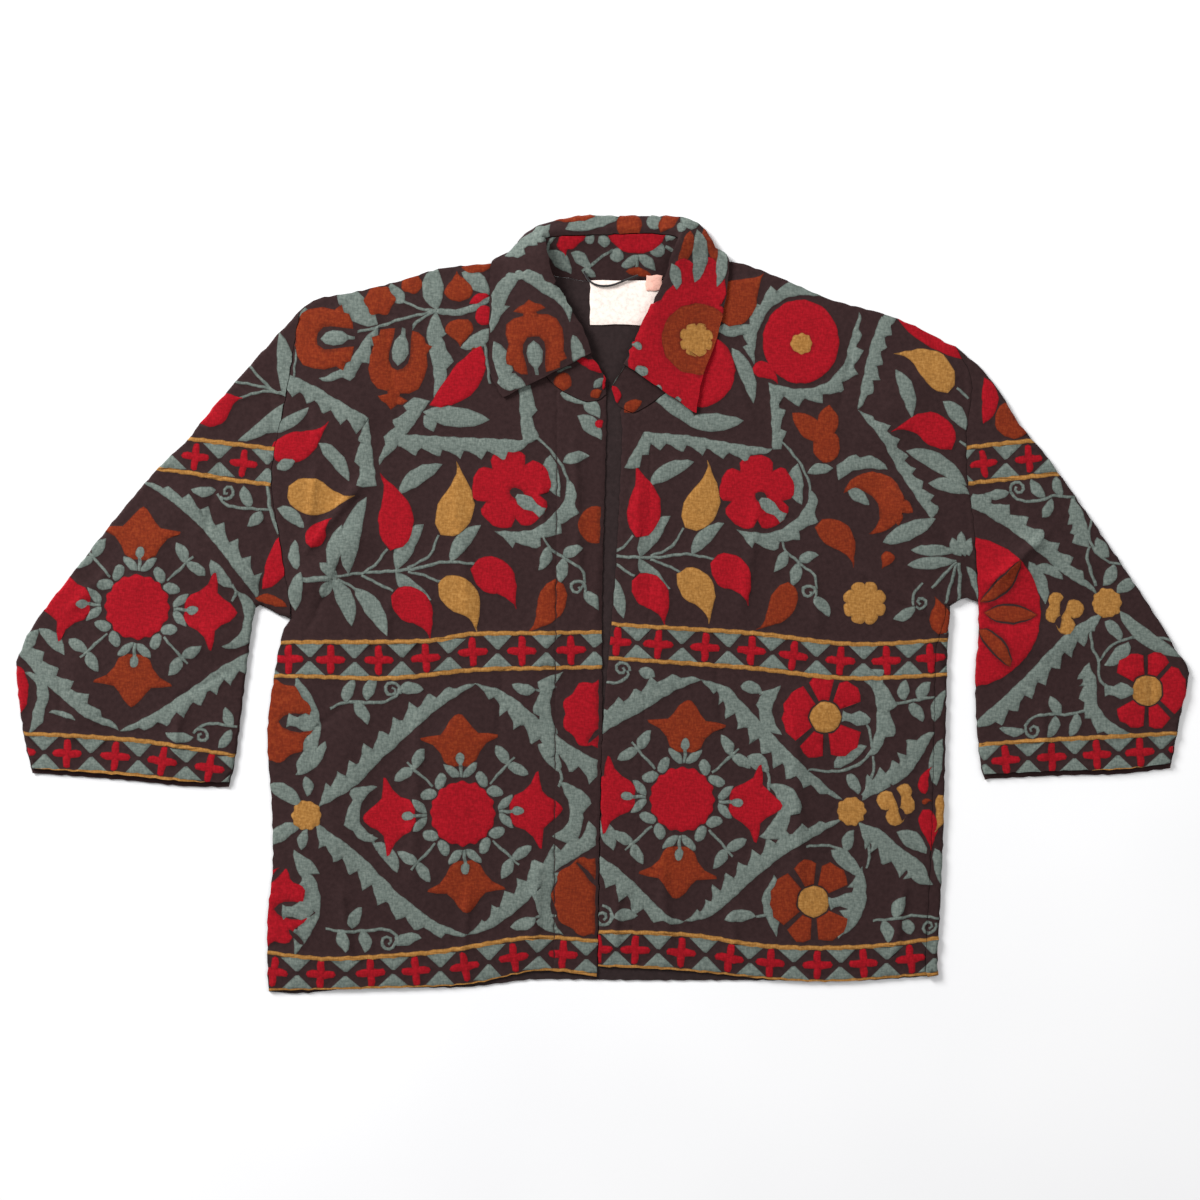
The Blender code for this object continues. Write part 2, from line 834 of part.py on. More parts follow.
def make_loop():
    """A thin round cord, sewn in at the neck seam."""
    route = smooth_row([raised(*row) for row in LOOP], LOOP_STEPS)
    line = bpy.data.curves.new("hanging_loop", "CURVE")
    line.dimensions = "3D"
    line.bevel_depth = LOOP_DIAMETER / 2
    line.bevel_resolution = LOOP_ROUNDING
    line.use_fill_caps = True
    spline = line.splines.new("POLY")
    spline.points.add(len(route) - 1)
    for point, place in zip(spline.points, route):
        point.co = (*place, 1.0)
    line.materials.append(new_material("hanging_loop", LOOP_COLOUR, CORD_ROUGHNESS))
    bpy.context.collection.objects.link(bpy.data.objects.new("hanging_loop", line))


clear_scene()
make_back()
make_lining()
make_front_right()
make_front_left()
make_sleeve_right()
make_sleeve_left()
make_collar_stand()
make_collar_leaf()
make_patch("label", LABEL, LABEL_LOW, LABEL_COLOUR)
make_patch("size_tab", TAB, TAB_LOW, TAB_COLOUR)
make_loop()
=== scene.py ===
"""Looks of an embroidered short jacket that lies flat on its back.

Sizes here are millimetres until a mesh is made. Places on the garment are
counted in steps of a layout grid, across from the left and down from the top.
"""
import math

import bpy
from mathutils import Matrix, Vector, kdtree
from mathutils.geometry import delaunay_2d_cdt


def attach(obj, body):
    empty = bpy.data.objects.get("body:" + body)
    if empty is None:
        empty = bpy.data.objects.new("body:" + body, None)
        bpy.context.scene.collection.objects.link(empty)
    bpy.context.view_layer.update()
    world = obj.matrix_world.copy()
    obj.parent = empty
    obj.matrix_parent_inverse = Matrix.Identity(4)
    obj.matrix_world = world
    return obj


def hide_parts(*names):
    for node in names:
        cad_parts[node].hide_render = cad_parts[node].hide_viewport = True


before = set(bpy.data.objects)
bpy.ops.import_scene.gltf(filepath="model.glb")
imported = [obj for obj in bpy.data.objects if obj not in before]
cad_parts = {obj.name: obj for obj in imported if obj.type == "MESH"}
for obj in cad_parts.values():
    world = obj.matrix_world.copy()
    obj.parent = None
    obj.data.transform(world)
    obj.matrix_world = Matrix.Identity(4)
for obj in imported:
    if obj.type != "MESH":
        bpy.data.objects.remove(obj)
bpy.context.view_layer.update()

MM = 0.001
STEP = 588.0 / 668.0
CENTRE_ACROSS = 603
CENTRE_DOWN = 604
CLOTH = 1.5
SEAM_GAP = 0.3
TUBE_HEIGHT = 4.6
LINING_LOW = 1.8
LINING_CLOTH = 1.0
FRONT_EDGE_LOW = 1.8
FRONT_LOW = 3.1
EDGE_EASE = 26.0
FOLD_INSET = 1.9
FOLD_INSET_INSIDE = 2.9
SIDE_FLAP = 7.0
SIDE_FLAP_START = 3.2
SIDE_FLAP_TAPER = 45.0
CUFF_PEEP = 4.5
CUFF_PEEP_LENGTH = 70.0
COLLAR_CLOTH = 1.5

# How far the bare cloth lies under the solid's top, and the thread above the bare cloth
GROUND_DROP = 0.25
THREAD_RISE = 0.5
# The same where two colours of thread meet, and how light the painted shade leaves the thread's edge
# there
THREAD_MEETING = 0.28
MEETING_EDGE_SHADE = 0.35
# The bare cloth clears the table by this much, so that the threads under it just rest
RESTING = 0.6

# Height of the middle of a pressed fold, how far the faces of its cloth lie from that at
# the fold's edge, and how far the back's rolled side lies under its solid's top
FOLD_MIDDLE = TUBE_HEIGHT / 2
FOLD_OUTSIDE = 0.3
FOLD_INSIDE = 0.02
FLAP_DROP = 0.1
# Rounding of the cut edges of the fronts, and the width over which creases rise from them
EDGE_ROUND = 0.5
EDGE_ROUND_WIDTH = 1.8
CREASE_EASE = 8.0

# Distances between the points of a mesh
EDGE_SPACING = 5.0
STITCH_SPACING = 3.0
CREASE_SPACING = 4.0
COLLAR_SPACING = 3.5
HIDDEN_SPACING = 9.0
PLAIN_SPACING = 14.0
LINING_SPACING = 6.0
TAPE_SPACING = 4.0
# Rows of points inside the edge of a sheet
HIDDEN_RIMS = (0.6, 1.9)
LINING_RIMS = (0.8,)
TAPE_RIMS = (0.5, 1.2)

GROUND, TEAL, RED, RUST, GOLD, INSIDE = range(6)

# Edge curves. Columns: across, down
SHOULDER_RIGHT = ((511, 263), (490, 264), (440, 269), (401, 281), (352, 293), (318, 299),
                  (300, 311))
ARMHOLE_RIGHT = ((300, 311), (287, 391), (274, 455), (272, 490), (279, 533), (283, 560),
                 (290, 603), (291, 619))
SIDE_RIGHT = ((291, 619), (282, 636), (270, 706), (268, 748), (272, 804), (273, 867),
              (268, 916), (268, 972), (269, 990))
FRONT_HEM_RIGHT = ((269, 990), (374, 988), (465, 984), (510, 975), (544, 970), (597, 976))
FRONT_EDGE_RIGHT = ((597, 976), (600, 800), (602, 725), (602, 600), (606, 440), (606, 404))
FRONT_EDGE_LEFT = ((620, 412), (622, 440), (616, 565), (611.5, 622), (603, 725), (601, 800),
                   (598, 966))
FRONT_HEM_LEFT = ((598, 966), (681, 970), (773, 979), (838, 981), (921, 975))
UNDERARM_LEFT = ((978, 602), (964, 598), (950, 606))
SIDE_LEFT = ((950, 606), (947, 650), (946, 700), (944, 790), (943, 832), (940, 902),
             (937, 958), (938, 975))
ARMHOLE_LEFT = ((978, 602), (974, 535), (970, 500), (967, 483), (966, 435), (971, 381),
                (955, 347))
SHOULDER_LEFT = ((955, 347), (944, 342), (918, 328), (883, 314), (831, 300), (787, 281),
                 (757, 269), (738, 263), (716, 261))
BACK_HEM = ((269, 991), (300, 993), (360, 988), (460, 987), (500, 983), (540, 979),
            (640, 980), (760, 980), (840, 981), (900, 978), (938, 975))
SLEEVE_TOP_RIGHT = ((300, 311), (259, 356), (210, 412), (188, 440), (159, 468), (123, 510),
                    (79, 566), (36, 622), (22, 650), (17, 670), (24, 734), (33, 773))
CUFF_RIGHT = ((33, 773), (88, 777), (136, 781), (184, 786), (229, 787))
SLEEVE_UNDER_RIGHT = ((229, 787), (235, 762), (239, 734), (244, 692), (249, 650), (253, 622),
                      (258, 605), (272, 611), (291, 619))
SLEEVE_UNDER_LEFT = ((978, 602), (978, 640), (975, 670), (976, 720), (980, 762), (984, 779))
CUFF_LEFT = ((984, 779), (1024, 777), (1072, 775), (1120, 774), (1170, 768))
SLEEVE_TOP_LEFT = ((1170, 768), (1179, 720), (1188, 672), (1175, 650), (1159, 622),
                   (1122, 566), (1084, 510), (1044, 454), (1020, 426), (1003, 398),
                   (982, 370), (955, 347))
LINING_EDGE = ((545, 281), (530, 286), (508, 300), (512, 350), (545, 410), (573, 480),
               (585, 620), (594, 790), (610, 790), (629, 620), (650, 490), (685, 420),
               (716, 350), (722, 300), (702, 284), (684, 278))

# Folds of the cloth. Columns: start across, start down, end across, end down,
# half width, height
FOLDS_BODY = (
    (293, 600, 372, 520, 17, 3.2),
    (318, 330, 372, 440, 20, 2.4),
    (452, 690, 438, 930, 24, 2.2),
    (560, 600, 515, 740, 18, 1.6),
    (350, 700, 330, 880, 20, 2.0),
    (968, 588, 880, 480, 18, 3.4),
    (925, 360, 868, 462, 20, 2.4),
    (806, 660, 792, 930, 24, 2.2),
    (664, 560, 650, 720, 18, 1.6),
    (884, 660, 900, 860, 18, 2.0),
)
FOLDS_SLEEVE = (
    (268, 600, 176, 540, 15, 3.4),
    (254, 640, 150, 640, 16, 2.6),
    (205, 470, 120, 610, 22, 2.4),
    (70, 640, 90, 740, 18, 2.0),
    (980, 600, 1050, 530, 16, 3.2),
    (979, 640, 1080, 648, 16, 2.6),
    (1020, 470, 1092, 600, 22, 2.4),
    (1130, 650, 1118, 745, 18, 2.0),
)

# Fine creases, ridges above nought and troughs below it. Columns as for the folds
CREASES = (
    (300, 560, 372, 470, 5.1, 3.0), (303, 640, 348, 552, 2.9, -1.0), (420, 690, 412, 900, 5.9, 2.4),
    (505, 640, 496, 770, 3.5, -1.0), (340, 880, 352, 965, 4.3, 2.4), (540, 850, 532, 955, 5.1, 2.7),
    (380, 300, 402, 430, 3.5, -1.0), (452, 470, 472, 632, 5.9, 2.0), (574, 420, 580, 600, 4.3, 2.0),
    (300, 700, 330, 850, 3.5, -1.0), (950, 560, 878, 470, 5.1, 3.0), (944, 650, 905, 556, 2.9, -1.0),
    (792, 690, 800, 905, 5.9, 2.4), (714, 640, 724, 762, 3.5, -1.0), (905, 875, 892, 962, 4.3, 2.4),
    (660, 850, 670, 955, 5.1, 2.7), (858, 320, 836, 425, 3.5, -1.0), (762, 480, 738, 630, 5.9, 2.0),
    (640, 470, 634, 610, 4.3, 2.0), (846, 560, 930, 620, 4.3, 2.4), (700, 300, 760, 440, 5.1, 1.8),
    (264, 588, 186, 520, 4.3, 3.0), (244, 662, 168, 704, 2.9, -1.0), (150, 480, 88, 566, 5.1, 2.4),
    (60, 636, 62, 726, 2.9, -1.0), (182, 700, 172, 770, 4.3, 2.4), (226, 440, 200, 560, 3.5, -1.0),
    (984, 590, 1052, 528, 4.3, 3.0), (982, 662, 1062, 704, 2.9, -1.0), (1080, 520, 1122, 594, 5.1, 2.4),
    (1150, 640, 1150, 724, 2.9, -1.0), (1040, 700, 1046, 766, 4.3, 2.4),
    (996, 420, 1030, 560, 3.5, -1.0),
    (305, 375, 310, 446, 3.2, -1.0), (962, 345, 968, 432, 3.2, -1.0), (866, 400, 960, 488, 3.4, -1.0),
    (966, 486, 973, 570, 3.0, -1.0), (318, 452, 306, 560, 4.2, 1.8), (267, 376, 277, 448, 3.0, -1.0),
    (262, 503, 278, 564, 3.0, -1.0), (120, 560, 60, 620, 4.4, 1.7), (830, 700, 905, 722, 3.2, -1.0),
    (352, 700, 300, 742, 3.2, -1.0), (620, 880, 612, 960, 3.8, 1.8), (1090, 620, 1150, 668, 4.2, 1.8),
    (470, 880, 462, 965, 4.0, 1.8), (730, 900, 738, 962, 3.6, 1.7), (600, 540, 596, 640, 4.4, 1.6),
    (540, 470, 548, 580, 4.2, 1.7), (812, 560, 820, 640, 4.0, 1.6), (392, 590, 384, 664, 4.0, 1.6),
)

# Stitching that holds the facing behind each front edge. Columns: across, down
FACING_RIGHT = ((557, 392), (557, 480), (556, 600), (555, 780), (554, 966))
FACING_LEFT = ((650, 445), (649, 600), (642, 760), (635, 880), (630, 962))
STITCH_DEPTH = 0.5
STITCH_HALF = 1.1
STITCH_LINE = 0.8

# The collar. Columns: neck seam across, down, height; roll line across, down, height
STAND = (
    (606, 395, 4.2, 605, 379, 5.4),
    (597, 400, 4.2, 600, 369, 6.8),
    (583, 401, 4.2, 592, 357, 8.0),
    (550, 381, 4.2, 583, 334, 8.8),
    (524, 338, 4.2, 569, 312, 9.2),
    (513, 292, 4.2, 554, 284, 10.0),
    (514, 273, 4.0, 549, 271, 11.5),
    (518, 268, 3.7, 547, 261, 12.2),
    (526, 268, 3.2, 546, 252, 12.4),
    (537, 271, 2.6, 545, 245, 11.6),
    (551, 275, 2.0, 548, 239, 9.5),
    (588, 281, 1.8, 584, 237, 7.5),
    (617, 283, 1.8, 615, 236, 7.5),
    (645, 281, 1.8, 644, 235, 7.5),
    (674, 275, 2.0, 675, 238, 9.5),
    (687, 271, 2.6, 678, 244, 11.6),
    (698, 268, 3.2, 675, 251, 12.4),
    (706, 268, 3.7, 672, 261, 12.2),
    (711, 273, 4.0, 669, 272, 11.5),
    (714, 292, 4.2, 663, 288, 10.0),
    (706, 335, 4.2, 648, 318, 9.2),
    (679, 380, 4.2, 636, 344, 8.8),
    (638, 411, 4.2, 624, 368, 8.0),
    (622, 408, 4.2, 615, 380, 6.8),
    (616, 401, 4.2, 611, 389, 5.4),
)
# Columns: fold across, down, height; edge across, down, height; turned under
LEAF = (
    (516, 392, 6.5, 503, 398, 6.2, 0.0),
    (504, 371, 6.5, 491, 375, 6.2, 0.0),
    (502, 337, 6.5, 489, 340, 6.2, 0.0),
    (503, 300, 6.5, 490, 302, 6.2, 0.0),
    (504, 276, 6.5, 490, 276, 6.2, 0.0),
    (506, 264, 6.0, 493, 262, 5.4, 0.0),
    (512, 252, 5.6, 506, 254, 1.6, 0.3),
    (521, 241, 5.6, 533, 251, 0.8, 1.0),
    (539, 227, 6.2, 549, 260, 0.8, 1.0),
    (582, 218, 6.4, 586, 271, 0.8, 1.0),
    (615, 218, 6.4, 616, 273, 0.8, 1.0),
    (648, 218, 6.4, 646, 271, 0.8, 1.0),
    (687, 220, 6.2, 678, 258, 0.8, 1.0),
    (706, 234, 5.6, 693, 250, 0.8, 1.0),
    (713, 247, 5.6, 717, 250, 1.6, 0.3),
    (714, 262, 6.0, 728, 259, 5.4, 0.0),
    (714, 275, 6.5, 728, 274, 6.2, 0.0),
    (713, 294, 6.5, 726, 296, 6.2, 0.0),
    (705, 333, 6.5, 717, 338, 6.2, 0.0),
    (692, 370, 6.5, 702, 378, 6.2, 0.0),
    (683, 405, 6.5, 696, 414, 6.2, 0.0),
)
LEAF_START = 2
COLLAR_STEPS = 4
NECK_POINT_RIGHT = 6
NECK_POINT_LEFT = 18
LINING_NECK_START = 10
LINING_NECK_END = 14
ROLL_GAP = 0.9
ROLL_ARC = 4.6
ROLL_PARTS = 4


# Places and curves

def flat(across, down):
    """A place on the layout grid as a point on the surface."""
    return Vector(((across - CENTRE_ACROSS) * STEP, (CENTRE_DOWN - down) * STEP))


def with_height(point, height):
    return Vector((point.x, point.y, height))


def raised(across, down, height):
    return with_height(flat(across, down), height)


def smooth(value):
    value = min(max(value, 0.0), 1.0)
    return value * value * (3 - 2 * value)


def between(before, start, end, after, part):
    """Point on the smooth curve that runs from start to end."""
    square = part * part
    cube = square * part
    return 0.5 * (
        2 * start
        + (end - before) * part
        + (2 * before - 5 * start + 4 * end - after) * square
        + (3 * start - before - 3 * end + after) * cube
    )


def smooth_row(points, steps):
    """The points with smooth ones put between them."""
    ends = [2 * points[0] - points[1], *points, 2 * points[-1] - points[-2]]
    row = []
    for index in range(len(points) - 1):
        for step in range(steps):
            row.append(between(*ends[index:index + 4], step / steps))
    row.append(points[-1].copy())
    return row


def evenly(points, spacing):
    """Evenly spaced points along the smooth curve through the points."""
    fine = smooth_row(points, 12)
    lengths = [0.0]
    for start, end in zip(fine, fine[1:]):
        lengths.append(lengths[-1] + (end - start).length)
    count = max(round(lengths[-1] / spacing), 1)
    row = []
    index = 0
    for step in range(count + 1):
        target = lengths[-1] * step / count
        while index < len(fine) - 2 and lengths[index + 1] < target:
            index += 1
        span = lengths[index + 1] - lengths[index]
        row.append(fine[index].lerp(fine[index + 1], (target - lengths[index]) / span))
    return row


def edge_curve(table, spacing=EDGE_SPACING):
    return evenly([flat(*row) for row in table], spacing)


def left_of(run):
    """Unit vector to the left of a run."""
    run = run.normalized()
    return Vector((-run.y, run.x))


def normals(points):
    """Unit vectors to the left of a line of points."""
    sides = []
    for index in range(len(points)):
        before = points[max(index - 1, 0)]
        after = points[min(index + 1, len(points) - 1)]
        sides.append(left_of(after - before))
    return sides


def moved_left(points, distance):
    return [point + side * distance for point, side in zip(points, normals(points))]


def joined(*lines):
    """One closed outline from lines that meet end to end."""
    outline = []
    for line in lines:
        outline.extend(line[:-1])
    return outline


def tree_of(points):
    """A search tree of the points as seen from above."""
    tree = kdtree.KDTree(len(points))
    for index, point in enumerate(points):
        tree.insert((point.x, point.y, 0.0), index)
    tree.balance()
    return tree


class Near:
    """Distances to some lines of points."""

    def __init__(self, *lines):
        samples = []
        for line in lines:
            for start, end in zip(line, line[1:]):
                count = max(int((end - start).length), 1)
                samples.extend(start.lerp(end, step / count) for step in range(count))
            samples.append(line[-1])
        self.tree = tree_of(samples)

    def distance(self, point):
        return self.tree.find((point.x, point.y, 0.0))[2]


def fold_height(point, folds):
    """Height that the folds of a table add at a point."""
    reach = 2.6  # in half widths
    height = 0.0
    for start_across, start_down, end_across, end_down, half_width, rise in folds:
        start = flat(start_across, start_down)
        run = flat(end_across, end_down) - start
        along = (point - start).dot(run) / run.length_squared
        if not 0.0 < along < 1.0:
            continue
        off = (point - start - run * along).length / half_width
        if off < reach:
            taper = smooth(4 * along) * smooth(4 * (1 - along))
            height += rise * taper * math.exp(-off * off)
    return height


# Unevenness of hand stitching. Columns: wave per mm across and along, start angle, size in mm
WAVES_ACROSS = ((-0.09, 0.38, 2.0, 0.34), (0.29, 0.67, 0.4, 0.24))
WAVES_ALONG = ((0.40, 0.07, 0.0, 0.32), (0.71, -0.31, 1.3, 0.24))


def uneven(point):
    """The point moved a little, as smooth waves over all the pieces say."""
    moves = []
    for waves in (WAVES_ACROSS, WAVES_ALONG):
        moves.append(sum(size * math.sin(across * point.x + along * point.y + start)
                         for across, along, start, size in waves))
    return Vector((point.x + moves[0], point.y + moves[1], point.z))


def crease_lines():
    """The line of each crease, and how closely its cross-section is followed."""
    lines = []
    for start_across, start_down, end_across, end_down, half_width, _ in CREASES:
        start = flat(start_across, start_down)
        end = flat(end_across, end_down)
        count = int((end - start).length / CREASE_SPACING)
        line = [start.lerp(end, part / count) for part in range(count + 1)]
        lines.append((line, half_width / 2))
    return lines


# Embroidered shapes, as outlines in layout steps

def turned(angle):
    """Unit vector at an angle."""
    return Vector((math.cos(angle), math.sin(angle)))


def swung(point, cosine, sine):
    """The point turned about the origin."""
    return Vector((point.x * cosine - point.y * sine, point.x * sine + point.y * cosine))


def strip(spine, halves):
    """Outline round a spine, with a half width at each of its points."""
    sides = normals(spine)
    one = [point + side * half for point, side, half in zip(spine, sides, halves)]
    other = [point - side * half for point, side, half in zip(spine, sides, halves)]
    return [*one, *reversed(other)]


def bent(start, tip, bend, count):
    """Points along a curve from start to tip that bows out by a share of its length."""
    run = tip - start
    side = Vector((run.y, -run.x)) * bend
    row = []
    for index in range(count + 1):
        part = index / count
        row.append(start + run * part + side * 4 * part * (1 - part))
    return row


def leaf_shape(start, tip, width, bend=0.08):
    """A leaf with a blunt point at either end, widest just before its middle."""
    count = 9
    halves = [0.35 + width / 2 * math.sin(math.pi * (index / count) ** 0.9) ** 0.75
              for index in range(count + 1)]
    return strip(bent(start, tip, bend, count), halves)


def drop_shape(start, tip, width, bend=0.14, belly=0.36):
    """A drop, round up to its belly and drawn out to a bent tip."""
    count = 14
    halves = []
    for index in range(count + 1):
        part = index / count
        if part < belly:
            half = math.sqrt(max(1 - (1 - part / belly) ** 2, 0.0))
        else:
            half = math.cos(math.pi / 2 * (part - belly) / (1 - belly)) ** 1.7
        halves.append(0.3 + width / 2 * half)
    return strip(bent(start, tip, bend, count), halves)


def disc_shape(centre, radius, lobes=0, depth=0.0, squash=1.0, turn=0.0):
    """A disc with a wavy edge. squash narrows it across the way that turn points."""
    count = max(int(radius * 1.3), 12, lobes * 6)
    row = []
    for index in range(count):
        angle = math.tau * index / count
        reach = radius * (1 - depth * (0.5 - 0.5 * math.cos(lobes * angle)))
        point = Vector((math.cos(angle) * reach, math.sin(angle) * reach * squash))
        row.append(centre + swung(point, math.cos(turn), math.sin(turn)))
    return row


def flower_shape(centre, radius, petals, cleft=0.4, turn=0.0):
    """Round petals with narrow clefts between them."""
    count = petals * 10
    row = []
    for index in range(count):
        angle = math.tau * index / count
        cut = abs(math.sin(petals * angle / 2))
        reach = radius * (1 - cleft * max(0.0, 1 - 2.6 * cut)) * (0.94 + 0.06 * cut)
        row.append(centre + turned(angle + turn) * reach)
    return row


def stem_shape(points, width):
    """A line of stitches, a little wider in its middle."""
    spine = evenly(points, 4.0)
    last = len(spine) - 1
    halves = [width / 2 * (0.8 + 0.2 * math.sin(math.pi * index / last))
              for index in range(last + 1)]
    return strip(spine, halves)


def serrated_shape(points, width, tooth, spacing, start, end):
    """A band with one smooth edge, along the points, and teeth on its other edge.

    Each tooth rises slowly towards the last point and drops within its last tenth.
    start and end are the shares of the length over which the band narrows to nothing.
    """
    pace = 2.6
    rise = 0.9
    row = evenly(points, pace)
    last = len(row) - 1
    count = max(round(last * pace / spacing), 1)
    sign = 1 if width > 0 else -1
    teeth = []
    for index, (point, side) in enumerate(zip(row, normals(row))):
        part = index / last
        swell = min(1.0, (part / start) ** 0.7 if start else 1.0)
        swell = min(swell, ((1 - part) / end) ** 0.7 if end else 1.0)
        saw = (part * count) % 1.0
        saw = saw ** 1.4 / 0.86 if saw < rise else (1 - saw) * 10
        reach = (abs(width) + tooth * min(saw, 1.0)) * swell
        least = 0.5
        teeth.append(point - side * sign * max(reach, least))
    return [*row, *reversed(teeth)]


def petal_shape(centre, inner, outer, start, end):
    """A petal between two angles in degrees, with half a cleft left free on either side."""
    gap = 1.2
    row = []
    for reach, from_angle, to_angle in ((inner, start, end), (outer, end, start)):
        inset = math.degrees(gap / reach)
        sign = 1 if to_angle > from_angle else -1
        count = max(int(abs(to_angle - from_angle) / 9), 2)
        for index in range(count + 1):
            angle = from_angle + sign * inset
            angle += (to_angle - from_angle - 2 * sign * inset) * index / count
            wave = 1.0
            if reach == outer:
                wave = 0.87 + 0.13 * math.sin(math.pi * index / count) ** 0.5
                wave -= 0.035 * (index % 2)
            row.append(centre + turned(math.radians(angle)) * reach * wave)
    return row


def stamped(outline, place, ahead):
    """A shape given as across and ahead, set at a place and turned and sized by ahead."""
    across = Vector((-ahead.y, ahead.x))
    return [place + across * x + ahead * y for x, y in outline]


def both_sides(half):
    """A whole outline from its right half."""
    return [*half, *((-x, y) for x, y in reversed(half) if x)]


# Half outlines. Columns: across, ahead, in lengths of the shape
TULIP = ((0.15, 0.0), (0.3, 0.1), (0.37, 0.26), (0.5, 0.42), (0.72, 0.52), (0.74, 0.57),
         (0.56, 0.6), (0.36, 0.62), (0.25, 0.73), (0.17, 0.86), (0.07, 0.97), (0.0, 1.0))
CROSS = ((0.0, -0.98), (0.2, -0.88), (0.24, -0.6), (0.25, -0.27), (0.56, -0.25), (0.86, -0.2),
         (0.98, 0.0), (0.86, 0.2), (0.56, 0.25), (0.25, 0.27), (0.24, 0.6), (0.2, 0.88),
         (0.0, 0.98))
BUD = ((0.1, 0.0), (0.3, 0.2), (0.36, 0.42), (0.2, 0.68), (0.22, 0.85), (0.3, 0.96), (0.0, 1.0))
FRUIT = ((0.13, 0.0), (0.22, 0.01), (0.33, 0.05), (0.35, 0.12), (0.45, 0.15), (0.4, 0.25),
         (0.43, 0.4), (0.42, 0.55), (0.36, 0.69), (0.24, 0.77), (0.1, 0.78), (0.09, 0.81),
         (0.23, 0.86), (0.16, 0.91), (0.08, 0.93), (0.0, 1.0))
FRUIT_OPENING = ((0.12, -0.06), (0.13, 0.1), (0.16, 0.3), (0.15, 0.4), (0.08, 0.48), (0.0, 0.5))
FRUIT_BUD = ((0.02, -0.02), (0.03, 0.07), (0.09, 0.15), (0.11, 0.28), (0.08, 0.38), (0.0, 0.45))


class Pattern:
    """The embroidery of one panel, in layout steps. Later shapes cover earlier ones."""

    def __init__(self):
        self.shapes = []
        self.move((0, 0), (0, 0))

    def move(self, origin, target, turn=0.0, size=1.0):
        """From now on, puts what is drawn round origin round target."""
        self.origin = Vector(origin)
        self.target = Vector(target)
        self.ahead = turned(turn) * size

    def put(self, colour, outline):
        moved = []
        for point in outline:
            moved.append(self.target + swung(point - self.origin, *self.ahead))
        self.shapes.append((colour, moved))

    def leaves(self, rows, colour=TEAL):
        """Columns: start across, down; tip across, down; width; bend."""
        for row in rows:
            self.put(colour, leaf_shape(Vector(row[0:2]), Vector(row[2:4]), *row[4:]))

    def drops(self, rows):
        """Columns: colour; start across, down; tip across, down; width; bend."""
        for row in rows:
            self.put(row[0], drop_shape(Vector(row[1:3]), Vector(row[3:5]), *row[5:]))

    def stems(self, rows, colour=TEAL):
        """Columns: width, then the points that the stem follows."""
        for width, *points in rows:
            self.put(colour, stem_shape([Vector(point) for point in points], width))

    def bands(self, rows, colour=TEAL):
        """Columns: width, tooth, spacing, taper at start, at end, then the points."""
        for width, tooth, spacing, start, end, *points in rows:
            route = [Vector(point) for point in points]
            self.put(colour, serrated_shape(route, width, tooth, spacing, start, end))

    def discs(self, rows):
        """Columns: colour; across; down; radius; lobes; depth; squash; turn."""
        for row in rows:
            self.put(row[0], disc_shape(Vector(row[1:3]), *row[3:]))

    def stamps(self, shape, rows):
        """Columns: colour; base across, down; tip across, down; widening."""
        for row in rows:
            wide = row[5] if len(row) > 5 else 1.0
            outline = [(x * wide, y) for x, y in both_sides(shape)]
            base = Vector(row[1:3])
            self.put(row[0], stamped(outline, base, Vector(row[3:5]) - base))

    def fruits(self, rows):
        """Open fruits with a bud inside. Columns: base across, down; tip across, down; widening."""
        for row in rows:
            self.stamps(FRUIT, ((RUST, *row),))
            self.stamps(FRUIT_OPENING, ((GROUND, *row),))
            self.stamps(FRUIT_BUD, ((TEAL, *row[:4]),))

    def petals(self, rows):
        """Columns: colour; centre across, down; inner, outer radius; angles."""
        for colour, across, down, inner, outer, *angles in rows:
            for start, end in angles:
                shape = petal_shape(Vector((across, down)), inner, outer, start, end)
                self.put(colour, shape)

    def flowers(self, rows):
        """Columns: colour; centre across, down; radius; petals; cleft; turn."""
        for row in rows:
            self.put(row[0], flower_shape(Vector(row[1:3]), *row[3:]))

    def curl(self, centre, radius, start, turns, width=3.4, colour=TEAL):
        """A tendril that winds in on its centre."""
        count = max(int(abs(turns) * 14), 6)
        row = []
        for index in range(count + 1):
            part = index / count
            angle = start + math.tau * turns * part
            row.append(Vector(centre) + turned(angle) * radius * (1 - 0.72 * part))
        self.put(colour, stem_shape(row, width))

    def border(self, upper, lower, crosses, pitch=47.0, size=15.5):
        """Two gold lines with crosses and pairs of triangles between them."""
        tops = smooth_row([Vector(point) for point in upper], 8)
        bottoms = smooth_row([Vector(point) for point in lower], 8)

        def level(row, across):
            for start, end in zip(row, row[1:]):
                if start.x <= across <= end.x:
                    return start.y + (end.y - start.y) * (across - start.x) / (end.x - start.x)
            return row[0].y if across < row[0].x else row[-1].y

        middles = [(a + b) / 2 for a, b in zip(crosses, crosses[1:])]
        middles = [crosses[0] - pitch / 2, *middles, crosses[-1] + pitch / 2]
        half = 0.34 * pitch
        for across in middles:
            top = level(tops, across)
            bottom = level(bottoms, across)
            reach = (bottom - top) / 2 - 3
            for edge, sign in ((top + 1, 1), (bottom - 1, -1)):
                self.put(TEAL, [
                    Vector((across - half, edge)),
                    Vector((across + half, edge)),
                    Vector((across + 1.5, edge + sign * reach)),
                    Vector((across - 1.5, edge + sign * reach)),
                ])
        for across in crosses:
            top = level(tops, across)
            bottom = level(bottoms, across)
            slope = level(tops, across + 5) - level(tops, across - 5)
            ahead = Vector((slope / 10, -1.0)).normalized() * size
            place = Vector((across, (top + bottom) / 2))
            self.put(RED, stamped(both_sides(CROSS), place, ahead))
        for line in (upper, lower):
            self.put(GOLD, stem_shape([Vector(point) for point in line], 4.6))

